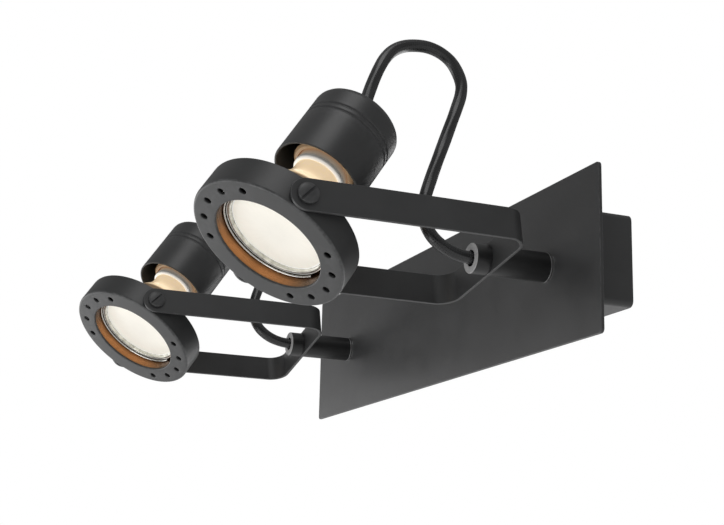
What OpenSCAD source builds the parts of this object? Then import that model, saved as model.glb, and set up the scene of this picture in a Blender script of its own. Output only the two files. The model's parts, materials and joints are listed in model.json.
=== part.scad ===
// Wall spotlight bar with two swivelling, tilting ring spots for GU10 lamps.
// Origin: centre of the back face that lies on the wall.
// +X along the bar, -Y away from the wall, +Z up. Millimetres.

/* [Front plate] */
// Length of the front plate
plate_w = 337; // [300:1:420]
// Height of the front plate
plate_h = 77; // [64:1:110]
// Thickness of the front plate
plate_t = 1.6; // [1:0.1:3]
// Corner radius of the front plate
plate_corner_r = 2; // [0.5:0.5:6]

/* [Housing] */
// Distance of the box's ends from the plate's ends
box_inset = 16.5; // [8.5:0.5:20]
// Height of the box behind the plate
box_h = 43; // [40:1:54]
// Depth of the box from the wall to the plate
box_d = 26; // [24:1:40]
// Sheet thickness of the box
box_wall = 1.2; // [0.8:0.1:1.6]
// Radius of the box's upright end edges
box_edge_r = 3; // [2:0.5:5]
// Distance of the plate studs from the box's ends
stud_inset = 14; // [10:1:14]
// Radius of the plate studs
stud_r = 2; // [1.5:0.25:2.5]
// Distance between the upper and lower studs
stud_pitch = 22; // [18:1:24]

/* [Wall bracket] */
// Distance of the wall bracket's ends from the box's ends
bracket_inset = 12; // [9:0.5:16]
// Sheet thickness of the wall bracket
bracket_t = 1.5; // [1:0.1:2]
// Distance between the two wall slots
slot_pitch = 200; // [190:1:210]
// Width of a wall slot
slot_w = 5.2; // [4.5:0.1:6]
// Length of a wall slot, end to end
slot_l = 14; // [10:1:18]
// Distance between the bracket's ears along the bar
ear_pitch = 150; // [140:2:160]
// Length of an ear along the bar
ear_w = 16; // [12:1:20]
// Reach of an ear from the wall
ear_d = 13; // [11:0.5:16]
// Radius of the side screws that hold the housing
side_screw_r = 1.5; // [1.25:0.25:2]
// Radius of the side screws' heads
side_head_r = 2.8; // [2.5:0.1:3.4]
// Distance of the mains entry from the centre
entry_x = 45; // [36:1:55]
// Radius of the hole in the mains grommet
entry_r = 4.5; // [3.5:0.25:5]

/* [Terminal block] */
// Length of the terminal block along the bar
block_w = 30; // [28:1:34]
// Height of the terminal block
block_h = 16; // [15:1:18]
// Depth of the terminal block
block_d = 13; // [12:0.5:14]
// Distance between the poles
pole_pitch = 9; // [8.5:0.25:9.5]
// Radius of the hole in a brass sleeve
sleeve_r = 1.7; // [1.6:0.05:1.8]
// Wall of a brass sleeve
sleeve_wall = 0.5; // [0.4:0.05:0.6]
// Radius of a lamp wire
wire_r = 0.7; // [0.5:0.05:0.75]

/* [Stems] */
// Distance of the stems from the box's ends
stem_inset = 30.5; // [26:0.5:32]
// Length of a stem in front of the plate
stem_len = 29.4; // [22:0.2:36]
// Outer radius of a stem and of its collar
stem_r = 7.1; // [7:0.1:9]
// Radius of a stem's threaded spigot
spigot_r = 6.5; // [6.2:0.1:6.8]
// Outer radius of the hollow swivel tube
tube_r = 5; // [4.8:0.1:5.2]
// Radius of the hole in the swivel tube
tube_bore_r = 3.5; // [3.4:0.05:3.8]
// Length of the collar in front of the yoke
collar_len = 7.8; // [6:0.2:9]

/* [Yokes] */
// Thickness of the yoke's strip
strip_t = 1.5; // [1.2:0.1:2]
// Width of the yoke's strip
strip_w = 14.8; // [13:0.2:15.2]
// Outer bend radius of the yoke
bend_r = 10.5; // [6:0.5:11]
// Distance of the tilt axis from the front plate
pivot_out = 132; // [126:1:150]
// Swivel of the right spot as stored, in degrees
swivel_right = 10.7; // [-20:0.1:20]
// Swivel of the left spot as stored, in degrees
swivel_left = 15.3; // [-20:0.1:20]
// Tilt of both spots below straight out as stored, in degrees
rest_tilt = 56.4; // [56:0.1:57]

/* [Spot rings] */
// Outer radius of the ring
ring_r = 37.1; // [36.5:0.1:40]
// Radius of the ring's front opening
opening_r = 25.8; // [25.6:0.1:26]
// Distance of the ring's front face ahead of the tilt axis
ring_front = 7.7; // [7.2:0.1:8.5]
// Depth of the ring
ring_depth = 14.3; // [13.6:0.1:16]
// Thickness of the ring's front face
face_t = 1.2; // [1:0.1:1.5]
// Thickness of the ring's outer wall
rim_wall = 1.6; // [1.2:0.1:2]
// Thickness of the ring's inner collar
inner_wall = 1.4; // [1.2:0.1:1.6]
// How far the lip at the ring's rear reaches inwards from the wall
rear_lip = 5.3; // [3:0.1:5.4]
// Wall of the copper coloured liner
liner_wall = 1; // [0.8:0.1:1.2]
// How far inside the middle of the ring's face the circle of vent holes lies
vent_inset = 0.5; // [0:0.1:0.6]
// Radius of a vent hole
vent_r = 1.7; // [1.2:0.1:1.9]
// Angle between neighbouring vent holes
vent_step = 23; // [16:0.5:23]
// Vent holes in each of the two groups
vent_count = 5; // [3:1:5]
// Radius of a tilt screw
tilt_screw_r = 2; // [1.8:0.1:2.2]
// Radius of a tilt screw's head
tilt_head_r = 4.7; // [4.2:0.1:5.2]
// Thickness of a tilt screw's head
tilt_head_t = 2.2; // [1.8:0.1:2.6]

/* [Lamps] */
// Radius of the lamp's front rim
lamp_r = 25; // [24.8:0.05:25.1]
// Distance of the lamp's front ahead of the tilt axis
lamp_front = 0.4; // [0:0.1:0.8]
// Thickness of the lamp's front rim
lamp_rim_t = 3; // [2.6:0.1:3.2]
// Radius of the frosted lens
lens_r = 22.9; // [22:0.1:23.2]
// Length of the lamp from its front to the base's end
lamp_len = 46.8; // [46:0.1:48]
// Radius of the lamp's neck
neck_r = 12.4; // [12.3:0.1:12.6]
// Radius of the lamp's base
base_r = 12.1; // [11.8:0.1:12.2]
// Distance between the two pins
pin_pitch = 10; // [10:0.1:10.2]

/* [Rear caps] */
// Outer radius of the cap
cap_r = 21.4; // [20.5:0.1:24]
// Wall of the cap
cap_wall = 1; // [0.8:0.1:1.4]
// Distance of the cap's open end behind the tilt axis
cap_mouth = 34.9; // [34:0.1:37]
// Distance of the cap's closed back behind the tilt axis
cap_back = 74.5; // [74:0.1:75]
// Radius of the cap's rounded back edge
cap_edge_r = 4; // [2:0.5:5]
// Radius of the lampholder
holder_r = 15; // [14.6:0.1:15.4]
// How far the lampholder's rim reaches over the lamp's base
holder_over = 5.8; // [5:0.1:6]
// Length of the lampholder
holder_len = 19.6; // [18:0.2:20]

/* [Cables] */
// Radius of the spot cable
cable_r = 3; // [2.6:0.05:3]

/* [Hidden] */

$fn = 64;
fine_fn = 96;
small_fn = 32;
left = -1;
right = 1;

// Clearances
thread_gap = 0.05;    // a screw or nut on its thread, per side
run_gap = 0.05;       // a shaft that turns in its bore, per side
slip_gap = 0.1;       // faces that slide on each other
fit_gap = 0.2;        // parts that are put together by hand
cut = 1;              // how far a cutter runs past the face it cuts

// Colours
black = [0.075, 0.077, 0.08];
ring_black = [0.1, 0.102, 0.105];
copper = [0.62, 0.34, 0.14];
steel = [0.7, 0.71, 0.72];
brass = [0.79, 0.63, 0.3];

// Planes of the base, measured from the wall
plate_front = box_d + plate_t;
box_front_in = box_d - box_wall;
box_w = plate_w - 2 * box_inset;
spot_x = box_w / 2 - stem_inset;

// Housing details
inner_h = box_h / 2 - box_wall;
stud_x = box_w / 2 - stud_inset;
stud_len = 7;
stud_nut_r = 3.8;
stud_nut_t = 3;
stud_hole_gap = 0.25;
side_hole_gap = 0.2;
side_screw_z = box_h / 2;
side_head_t = 1.6;
side_slot_w = 0.7;
side_slot_d = 0.8;
side_screw_len = 5;
side_screw_inset = 4;
side_screw_y = ear_d - side_screw_inset;

// Wall bracket details
bracket_w = box_w - 2 * bracket_inset;
bracket_h = 2 * (inner_h - fit_gap);
ear_x = ear_pitch / 2;
grommet_wall = 2;
grommet_lip = 1.8;
grommet_neck_r = entry_r + grommet_wall;
grommet_flange_r = grommet_neck_r + grommet_lip;
grommet_flange_t = 1.4;
earth_x = 28;
earth_r = 2;
earth_head_r = 3.6;
earth_head_t = 2.4;
earth_washer_r = 4.4;
earth_washer_t = 0.8;
earth_slot_w = 1;
earth_slot_d = 1.1;
screw_tip_in = 0.2;   // how far a screw's tip stays off the wall

// Terminal block details
pole_y = bracket_t + block_d / 2;
sleeve_out_r = sleeve_r + sleeve_wall;
sleeve_seat_r = sleeve_out_r + thread_gap;
sleeve_sink = 1;
sleeve_len = block_h - 2 * sleeve_sink;
well_r = 2;
term_screw_r = 1.2;
term_head_r = 1.7;
term_head_t = 1.6;
term_slot_w = 0.6;
term_slot_d = 0.7;
term_screw_inset = 4;
term_screw_reach = 0.6;
term_screw_z = block_h / 2 - term_screw_inset;
term_screw_end = pole_y + sleeve_r - term_screw_reach;
term_head_out = bracket_t + block_d - sleeve_sink;
block_screw_x = pole_pitch / 2;
block_screw_r = 1.25;
block_head_r = 2;
block_head_t = 1.4;
pole_xs = [-pole_pitch, 0, pole_pitch];

// Depths behind the plate's front face, on the stem axis
washer_t = 1;
stem_washer_in = plate_t + box_wall;
stem_nut_in = stem_washer_in + washer_t;
stem_nut_t = 3.5;
stem_nut_r = 9.8;
spigot_over = 1;
spigot_in = stem_nut_in + stem_nut_t + spigot_over;
swivel_washer_in = spigot_in + slip_gap;
swivel_washer_t = 0.8;
swivel_washer_r = 8.5;
swivel_nut_in = swivel_washer_in + swivel_washer_t;
swivel_nut_t = 4;
swivel_nut_r = 8.05;
tube_over = 2.2;
tube_in = swivel_nut_in + swivel_nut_t + tube_over;
cable_over = 1;
cable_in = tube_in + cable_over;
wire_off = 0.3;
wire_in = cable_in + wire_off;
stem_washer_r = 9.9;
stop_r_in = 10.1;
stop_r_out = 11.6;
stop_w = 1.4;
stop_root = 0.5;
lug_r_out = stop_r_out - fit_gap;
lug_w = 1.6;

// Distances in front of the plate, on the stem axis
web_out = stem_len + slip_gap;
collar_out = web_out + strip_t;
collar_front = collar_out + collar_len;
collar_face_t = 2.2;
tube_out = collar_front - collar_face_t - slip_gap;
collar_hole_gap = 0.7;
collar_hole_r = cable_r + collar_hole_gap;
stem_edge = 0.4;

// Tilt joint, distances from the spot's middle plane
boss_over = 0.1;
boss_out = ring_r + boss_over;
tilt_washer_t = 0.3;
tilt_washer_r = 4.4;
arm_in = boss_out + tilt_washer_t + slip_gap;
arm_out = arm_in + strip_t;
tilt_head_in = arm_out + slip_gap;
boss_r = 4.6;
boss_root = 0.8;
tilt_slot_w = 1.1;
tilt_slot_d = 1;

// Ring section, along the head's axis
ring_rear = ring_front - ring_depth;
face_rear = ring_front - face_t;
ring_edge_r = 1.2;
liner_r = opening_r + 0.2;
liner_out_r = liner_r + liner_wall;
inner_collar_r = liner_out_r + thread_gap;
inner_collar_out_r = inner_collar_r + inner_wall;
inner_collar_short = 1;
inner_collar_rear = ring_rear + inner_collar_short;
rim_in_r = ring_r - rim_wall;
rear_lip_t = 1;
rear_lip_r = rim_in_r - rear_lip;
vent_circle_r = (inner_collar_out_r + rim_in_r) / 2 - vent_inset;
tilt_tip_off = 1.15;
tilt_tip_gap = 0.4;
tilt_screw_end = inner_collar_out_r + tilt_tip_off;
lamp_seat = lamp_front - lamp_rim_t;
ledge_t = 0.8;
ledge_grip = 0.6;
ledge_r = lamp_r - ledge_grip;
clip_wire_r = 0.5;
clip_angle = 318;
clip_s = lamp_front + clip_wire_r + slip_gap;
clip_circle_r = liner_r - clip_wire_r - slip_gap;

// Lamp section, along the head's axis
glass_t = 1.2;
rim_round = 0.4;
lens_sink = 1.8;
lens_edge = lamp_front - lens_sink;
lens_crown = 1.1;
lens_t = 0.8;
lens_shelf = 0.7;
lens_shelf_r = lens_r - lens_shelf;
lens_slip_r = lens_r + slip_gap;
bowl = [[24.2, 0], [23.4, -5.4], [21.4, -11.4], [18.8, -16.4], [15.6, -20.9], [12.9, -24.4],
        [11.5, -27.4], [11.1, -29.4], [11.1, -33]];
neck_end = 38.2;
neck_round = 1.2;
neck_step = 0.6;
base_chamfer = 1;
neck_rear = lamp_front - neck_end;
neck_front = lamp_seat + bowl[len(bowl) - 1][1];
base_rear = lamp_front - lamp_len;
pin_r = 1.25;
pin_tip_r = 2.4;
pin_tip_t = 2;
pin_len = 7;

// Lampholder and cap, along the head's axis
holder_front = base_rear - fit_gap;
holder_rear = holder_front - holder_len;
holder_lip = base_rear + holder_over;
holder_edge = 1;
holder_play = 0.6;
holder_bore_r = base_r + holder_play;
holder_slot_r = pin_tip_r + fit_gap;
holder_slot_over = 1.4;
holder_slot_depth = pin_len + holder_slot_over;
cap_inside = -cap_back + cap_wall;
groove_s = -60.8;
groove_step = 3;
groove_d = 0.45;
groove_w = 1.3;
holder_screw_x = 8.5;
holder_screw_r = 1.5;
holder_screw_grip = 5;
holder_hole_depth = 6;
holder_head_r = 2.7;
holder_head_t = 1.8;
spacer_r = 2.7;
bushing_hole_r = 4.2;
bushing_r = 5.4;
bushing_tip_r = 4.2;
bushing_len = 4.5;
bushing_flange_t = 1.2;
bushing_gap = 0.35;
bushing_bore_r = cable_r + bushing_gap;

// Middle line of the spot cable in the yoke's middle plane: height, distance from the plate
cable_route = [[0, -cable_in], [0, 36], [1, 45], [3.5, 51.5], [8, 57], [13.5, 60], [19.5, 61], [26, 60],
               [38, 55.7], [61.5, 46], [78, 39.2], [86, 36.3], [92, 35.5], [98, 36.9], [104, 40.3],
               [108, 45.7], [109.8, 52], [109.4, 58.8], [107.4, 65.2], [104, 70.6], [99, 75],
               [92.5, 78.6], [86.5, 81.3], [81, 83.5], [75.5, 85.5], [70.5, 86.9], [66.3, 88.2],
               [60, 92]];
cable_sides = 10;

// Lamp wires, from the cable's end to the poles
wire_sides = 8;
wire_lift = 2.5;
wire_entry = 2.4;
wire_clear = 3;
wire_lead = 2;
wire_drop = 3;
wire_fan = 10;
wire_bend = 0.4;
wire_spread = 1.8;

// A piece placed on the stem axis: x, up, out from the plate's front
module on_stem(side) {
    translate([side * spot_x, -plate_front, 0])
        rotate([90, 0, 0])
            children();
}

// A piece placed on the yoke: x along the tilt axis, z out from the plate's front
module on_yoke(side) {
    on_stem(side)
        rotate([0, 0, side == right ? swivel_right : swivel_left])
            children();
}

// A piece placed on the head: x along the tilt axis, z towards the light
module on_head(side) {
    on_yoke(side)
        translate([0, 0, pivot_out])
            rotate([rest_tilt, 0, 0])
                children();
}

// A cylinder along X from x0 to x1
module x_cylinder(x0, x1, r) {
    translate([x0, 0, 0])
        rotate([0, 90, 0])
            cylinder(h = x1 - x0, r = r);
}

// A cylinder along -Y from depth d0 to d1, measured from the wall
module out_cylinder(d0, d1, r, sides = $fn) {
    translate([0, -d0, 0])
        rotate([90, 0, 0])
            cylinder(h = d1 - d0, r = r, $fn = sides);
}

// A block centred in X and Z, from depth d0 to d1, measured from the wall
module out_block(w, h, d0, d1) {
    translate([-w / 2, -d1, -h / 2])
        cube([w, d1 - d0, h]);
}

// A ring along Z from z0 to z1
module tube_z(z0, z1, r_out, r_in) {
    difference() {
        translate([0, 0, z0])
            cylinder(h = z1 - z0, r = r_out);
        translate([0, 0, z0 - cut])
            cylinder(h = z1 - z0 + 2 * cut, r = r_in);
    }
}

// A rectangle with round corners, centred
module round_rect(w, h, r) {
    square([w - 2 * r, h], center = true);
    square([w, h - 2 * r], center = true);
    for (sx = [-1, 1], sy = [-1, 1])
        translate([sx * (w / 2 - r), sy * (h / 2 - r)])
            circle(r = r);
}

// A block with round upright edges, from depth d0 to d1
module out_block_rounded(w, h, d0, d1, r) {
    translate([0, -d0, 0])
        rotate([90, 0, 0])
            linear_extrude(d1 - d0)
                round_rect(w, h, r);
}

// Points of an arc round a centre, from angle a0 to a1
function arc(c, r, a0, a1, steps = 6) =
    [for (i = [0:steps]) let (a = a0 + (a1 - a0) * i / steps) c + r * [cos(a), sin(a)]];

// A tube of one polyhedron swept along points, with a ring square to the path at each
function unit(v) = v / norm(v);
function path_dir(p, i) =
    i == 0 ? unit(p[1] - p[0])
    : i == len(p) - 1 ? unit(p[i] - p[i - 1])
    : unit(unit(p[i] - p[i - 1]) + unit(p[i + 1] - p[i]));
function ring_points(c, t, side_dir, r, n) =
    let (u = unit(cross(t, side_dir)), v = unit(cross(t, u)))
    [for (k = [0:n - 1]) c + r * (cos(360 * k / n) * u + sin(360 * k / n) * v)];

module swept_tube(p, r, n, side_dir) {
    m = len(p);
    points = [for (i = [0:m - 1]) each ring_points(p[i], path_dir(p, i), side_dir, r, n)];
    walls = [for (i = [0:m - 2], k = [0:n - 1]) let (a = i * n + k, b = i * n + (k + 1) % n)
        each [[a, b, b + n], [a, b + n, a + n]]];
    first = [for (k = [1:n - 2]) [0, k + 1, k]];
    last = [for (k = [1:n - 2]) [(m - 1) * n, (m - 1) * n + k, (m - 1) * n + k + 1]];
    polyhedron(points = points, faces = concat(walls, first, last));
}

// Base: plate, box, wall bracket and wiring

module front_plate() {
    color(black) {
        difference() {
            translate([0, -box_d, 0])
                rotate([90, 0, 0])
                    linear_extrude(plate_t)
                        round_rect(plate_w, plate_h, plate_corner_r);
            for (side = [left, right])
                translate([side * spot_x, 0, 0])
                    out_cylinder(box_d - cut, plate_front + cut, spigot_r + fit_gap);
        }
        for (sx = [-1, 1], sz = [-1, 1])
            translate([sx * stud_x, 0, sz * stud_pitch / 2])
                out_cylinder(box_d - stud_len, box_d + plate_t / 2, stud_r);
    }
}

module housing() {
    color(black)
        difference() {
            out_block_rounded(box_w, box_h, 0, box_d, box_edge_r);
            out_block_rounded(box_w - 2 * box_wall, box_h - 2 * box_wall, -cut, box_front_in,
                              box_edge_r - box_wall);
            for (side = [left, right])
                translate([side * spot_x, 0, 0])
                    out_cylinder(box_front_in - cut, box_d + cut, spigot_r + fit_gap);
            for (sx = [-1, 1], sz = [-1, 1])
                translate([sx * stud_x, 0, sz * stud_pitch / 2])
                    out_cylinder(box_front_in - cut, box_d + cut, stud_r + stud_hole_gap);
            for (sx = [-1, 1], sz = [-1, 1])
                translate([sx * ear_x, -side_screw_y, sz * (inner_h - cut)])
                    mirror([0, 0, sz < 0 ? 1 : 0])
                        cylinder(h = box_wall + 2 * cut, r = side_screw_r + side_hole_gap);
        }
}

module plate_nuts() {
    color(steel)
        for (sx = [-1, 1], sz = [-1, 1])
            translate([sx * stud_x, 0, sz * stud_pitch / 2])
                difference() {
                    out_cylinder(box_front_in - stud_nut_t, box_front_in, stud_nut_r, 6);
                    out_cylinder(box_front_in - stud_nut_t - cut, box_front_in + cut, stud_r + thread_gap);
                }
}

module wall_slot(x) {
    for (e = [-1, 1])
        translate([x + e * (slot_l - slot_w) / 2, 0, 0])
            out_cylinder(-cut, bracket_t + cut, slot_w / 2);
    translate([x, 0, 0])
        out_block(slot_l - slot_w, slot_w, -cut, bracket_t + cut);
}

module wall_bracket() {
    color(steel)
        difference() {
            union() {
                out_block(bracket_w, bracket_h, 0, bracket_t);
                for (sx = [-1, 1], sz = [-1, 1])
                    translate([sx * ear_x, 0, sz * (bracket_h - bracket_t) / 2])
                        out_block(ear_w, bracket_t, bracket_t / 2, ear_d);
            }
            for (sx = [-1, 1]) {
                wall_slot(sx * slot_pitch / 2);
                translate([sx * ear_x, -side_screw_y, -bracket_h / 2 - cut])
                    cylinder(h = bracket_h + 2 * cut, r = side_screw_r + thread_gap);
            }
            translate([entry_x, 0, 0])
                out_cylinder(-cut, bracket_t + cut, grommet_neck_r + thread_gap);
            translate([-earth_x, 0, 0])
                out_cylinder(-cut, bracket_t + cut, earth_r + thread_gap);
            translate([block_screw_x, 0, 0])
                out_cylinder(-cut, bracket_t + cut, block_screw_r + thread_gap);
        }
}

module side_screws() {
    color(steel)
        for (sx = [-1, 1], sz = [-1, 1])
            translate([sx * ear_x, -side_screw_y, 0])
                mirror([0, 0, sz < 0 ? 1 : 0])
                    difference() {
                        union() {
                            translate([0, 0, side_screw_z - side_screw_len])
                                cylinder(h = side_screw_len, r = side_screw_r);
                            translate([0, 0, side_screw_z])
                                cylinder(h = side_head_t, r = side_head_r);
                        }
                        translate([-side_head_r - cut, -side_slot_w / 2, side_screw_z + side_head_t - side_slot_d])
                            cube([2 * (side_head_r + cut), side_slot_w, side_slot_d + cut]);
                    }
}

module terminal_block() {
    color([0.9, 0.89, 0.85])
        difference() {
            out_block(block_w, block_h, bracket_t, bracket_t + block_d);
            for (x = pole_xs)
                translate([x, -pole_y, -block_h / 2 - cut])
                    cylinder(h = block_h + 2 * cut, r = sleeve_seat_r);
            for (x = pole_xs, sz = [-1, 1])
                translate([x, 0, sz * term_screw_z])
                    out_cylinder(pole_y, bracket_t + block_d + cut, well_r);
            translate([block_screw_x, 0, 0]) {
                out_cylinder(bracket_t - cut, bracket_t + block_d + cut, block_screw_r + fit_gap);
                out_cylinder(bracket_t + block_d - 2 * block_head_t, bracket_t + block_d + cut,
                             block_head_r + fit_gap);
            }
        }
}

module terminal_sleeves() {
    color(brass)
        for (x = pole_xs)
            translate([x, -pole_y, 0])
                difference() {
                    translate([0, 0, -sleeve_len / 2])
                        cylinder(h = sleeve_len, r = sleeve_out_r);
                    translate([0, 0, -sleeve_len / 2 - cut])
                        cylinder(h = sleeve_len + 2 * cut, r = sleeve_r);
                    for (sz = [-1, 1])
                        translate([0, 0, sz * term_screw_z])
                            out_cylinder(0, sleeve_out_r + cut, term_screw_r + thread_gap);
                }
}

module terminal_screws() {
    color(steel)
        for (x = pole_xs, sz = [-1, 1])
            translate([x, 0, sz * term_screw_z])
                difference() {
                    union() {
                        out_cylinder(term_screw_end, term_head_out, term_screw_r);
                        out_cylinder(term_head_out - term_head_t, term_head_out, term_head_r);
                    }
                    out_block(2 * term_head_r + cut, term_slot_w, term_head_out - term_slot_d, term_head_out + cut);
                }
}

module block_screw() {
    color(steel)
        translate([block_screw_x, 0, 0]) {
            out_cylinder(screw_tip_in, bracket_t + block_d - block_head_t, block_screw_r);
            out_cylinder(bracket_t + block_d - 2 * block_head_t, bracket_t + block_d - block_head_t, block_head_r);
        }
}

module earth_screw() {
    head_in = bracket_t + earth_washer_t;
    head_out = head_in + earth_head_t;
    color(brass)
        translate([-earth_x, 0, 0]) {
            out_cylinder(screw_tip_in, head_in, earth_r);
            out_cylinder(bracket_t, head_in, earth_washer_r);
            difference() {
                out_cylinder(head_in, head_out, earth_head_r);
                out_block(2 * earth_head_r + cut, earth_slot_w, head_out - earth_slot_d, head_out + cut);
            }
        }
}

module mains_grommet() {
    lip = bracket_t + grommet_flange_t;
    color([0.12, 0.12, 0.12])
        translate([entry_x, 0, 0])
            difference() {
                union() {
                    out_cylinder(slip_gap, lip, grommet_neck_r);
                    out_cylinder(bracket_t, lip, grommet_flange_r);
                }
                out_cylinder(-cut, lip + cut, entry_r);
            }
}

// Three lamp wires of one side, from the cable's end to the poles
module lamp_wires(side) {
    first_z = block_h / 2 + wire_clear;
    y = -(pole_y + side * (wire_r + slip_gap));
    start_y = -(plate_front - wire_in);
    color([0.45, 0.3, 0.2])
        for (k = [0:2]) {
            z = first_z + k * wire_lift;
            x = side * pole_pitch * (1 - k);
            end_z = wire_spread * (k - 1);
            swept_tube([[side * spot_x, start_y, end_z],
                        [side * (spot_x - wire_lead), start_y + wire_drop, end_z],
                        [x + side * wire_fan, y, z],
                        [x + side * wire_bend, y, z - wire_bend],
                        [x, y, block_h / 2 - wire_entry]], wire_r, wire_sides, [0, 1, 0.05]);
        }
}

// Stems and what holds them

module stem(side) {
    color(black)
        on_stem(side)
            difference() {
                union() {
                    rotate_extrude($fn = fine_fn)
                        polygon([[0, 0], [stem_r, 0], [stem_r, stem_len - stem_edge],
                                 [stem_r - stem_edge, stem_len], [0, stem_len]]);
                    translate([0, 0, -spigot_in])
                        cylinder(h = spigot_in + cut, r = spigot_r);
                }
                translate([0, 0, -spigot_in - cut])
                    cylinder(h = spigot_in + stem_len + 2 * cut, r = tube_r + run_gap, $fn = fine_fn);
            }
}

module stem_washer(side) {
    color(steel)
        on_stem(side) {
            tube_z(-stem_nut_in, -stem_washer_in, stem_washer_r, spigot_r + fit_gap);
            translate([-stop_w / 2, stem_washer_r - stop_root, -stem_nut_in])
                cube([stop_w, stop_r_out - stem_washer_r + stop_root, washer_t]);
            translate([-stop_w / 2, stop_r_in, -swivel_nut_in])
                cube([stop_w, stop_r_out - stop_r_in, swivel_nut_in - stem_washer_in]);
        }
}

module stem_nut(side) {
    color(steel)
        on_stem(side)
            difference() {
                translate([0, 0, -stem_nut_in - stem_nut_t])
                    cylinder(h = stem_nut_t, r = stem_nut_r, $fn = 6);
                translate([0, 0, -stem_nut_in - stem_nut_t - cut])
                    cylinder(h = stem_nut_t + 2 * cut, r = spigot_r + thread_gap);
            }
}

// Yoke: what swivels on the stem

module swivel_tube(side) {
    color(steel)
        on_yoke(side)
            tube_z(-tube_in, tube_out, tube_r, tube_bore_r, $fn = fine_fn);
}

module swivel_washer(side) {
    color(steel)
        on_yoke(side)
            difference() {
                union() {
                    translate([0, 0, -swivel_nut_in])
                        cylinder(h = swivel_washer_t, r = swivel_washer_r);
                    translate([-lug_w / 2, -lug_r_out, -swivel_nut_in])
                        cube([lug_w, lug_r_out - tube_r - cut, swivel_washer_t]);
                }
                translate([0, 0, -swivel_nut_in - cut])
                    cylinder(h = swivel_washer_t + 2 * cut, r = tube_r + fit_gap);
            }
}

module swivel_nut(side) {
    color(steel)
        on_yoke(side)
            difference() {
                translate([0, 0, -swivel_nut_in - swivel_nut_t])
                    cylinder(h = swivel_nut_t, r = swivel_nut_r, $fn = 6);
                translate([0, 0, -swivel_nut_in - swivel_nut_t - cut])
                    cylinder(h = swivel_nut_t + 2 * cut, r = tube_r + thread_gap);
            }
}

// The bent strip seen along its width: web, two bends and two arms up to the tilt axis
module yoke_outline() {
    bend_c = arm_out - bend_r;
    translate([-bend_c, web_out])
        square([2 * bend_c, strip_t]);
    for (sx = [-1, 1])
        mirror([sx < 0 ? 1 : 0, 0]) {
            translate([arm_in, web_out + bend_r])
                square([strip_t, pivot_out - web_out - bend_r]);
            translate([bend_c, web_out + bend_r])
                intersection() {
                    difference() {
                        circle(r = bend_r);
                        circle(r = bend_r - strip_t);
                    }
                    translate([0, -bend_r])
                        square([bend_r, bend_r]);
                }
        }
}

module yoke(side) {
    color(black)
        on_yoke(side)
            difference() {
                union() {
                    translate([0, strip_w / 2, 0])
                        rotate([90, 0, 0])
                            linear_extrude(strip_w)
                                yoke_outline();
                    for (sx = [-1, 1])
                        mirror([sx < 0 ? 1 : 0, 0, 0])
                            translate([0, 0, pivot_out])
                                x_cylinder(arm_in, arm_out, strip_w / 2);
                }
                translate([0, 0, web_out - cut])
                    cylinder(h = strip_t + 2 * cut, r = tube_r + thread_gap);
                translate([0, 0, pivot_out])
                    x_cylinder(-arm_out - cut, arm_out + cut, tilt_screw_r + run_gap);
            }
}

module collar(side) {
    color(black)
        on_yoke(side)
            rotate_extrude($fn = fine_fn)
                polygon([[tube_r + thread_gap, collar_out], [stem_r, collar_out],
                         [stem_r, collar_front - stem_edge], [stem_r - stem_edge, collar_front],
                         [collar_hole_r, collar_front], [collar_hole_r, collar_front - collar_face_t],
                         [tube_r + thread_gap, collar_front - collar_face_t]]);
}

module cable(side) {
    color([0.09, 0.09, 0.095])
        on_yoke(side)
            swept_tube([for (p = cable_route) [0, p[0], p[1]]], cable_r, cable_sides, [1, 0, 0]);
}

// Head: ring, lamp, lampholder and cap

module ring(side) {
    color(ring_black)
        on_head(side)
            difference() {
                union() {
                    rotate_extrude($fn = fine_fn)
                        polygon(concat([[opening_r, ring_front]],
                                       arc([ring_r - ring_edge_r, ring_front - ring_edge_r], ring_edge_r, 90, 0),
                                       [[ring_r, ring_rear], [rear_lip_r, ring_rear],
                                        [rear_lip_r, ring_rear + rear_lip_t],
                                        [rim_in_r, ring_rear + rear_lip_t], [rim_in_r, face_rear],
                                        [inner_collar_out_r, face_rear],
                                        [inner_collar_out_r, inner_collar_rear],
                                        [inner_collar_r, inner_collar_rear],
                                        [inner_collar_r, face_rear], [opening_r, face_rear]]));
                    for (sx = [-1, 1])
                        mirror([sx < 0 ? 1 : 0, 0, 0])
                            x_cylinder(inner_collar_out_r - boss_root, boss_out, boss_r);
                }
                for (group = [90, 270], i = [0:vent_count - 1])
                    rotate([0, 0, group + (i - (vent_count - 1) / 2) * vent_step])
                        translate([vent_circle_r, 0, face_rear - cut])
                            cylinder(h = face_t + 2 * cut, r = vent_r, $fn = small_fn);
                for (sx = [-1, 1])
                    mirror([sx < 0 ? 1 : 0, 0, 0])
                        x_cylinder(tilt_screw_end - tilt_tip_gap, boss_out + cut, tilt_screw_r + thread_gap);
            }
}

module liner(side) {
    color(copper)
        on_head(side)
            rotate_extrude($fn = fine_fn)
                polygon([[liner_r, face_rear], [liner_out_r, face_rear],
                         [liner_out_r, lamp_seat - ledge_t], [ledge_r, lamp_seat - ledge_t],
                         [ledge_r, lamp_seat], [liner_r, lamp_seat]]);
}

module lamp_clip(side) {
    color(steel)
        on_head(side)
            translate([0, 0, clip_s])
                rotate([0, 0, 90 - clip_angle / 2])
                    rotate_extrude(angle = clip_angle, $fn = fine_fn)
                        translate([clip_circle_r, 0])
                            circle(r = clip_wire_r, $fn = 16);
}

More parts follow.
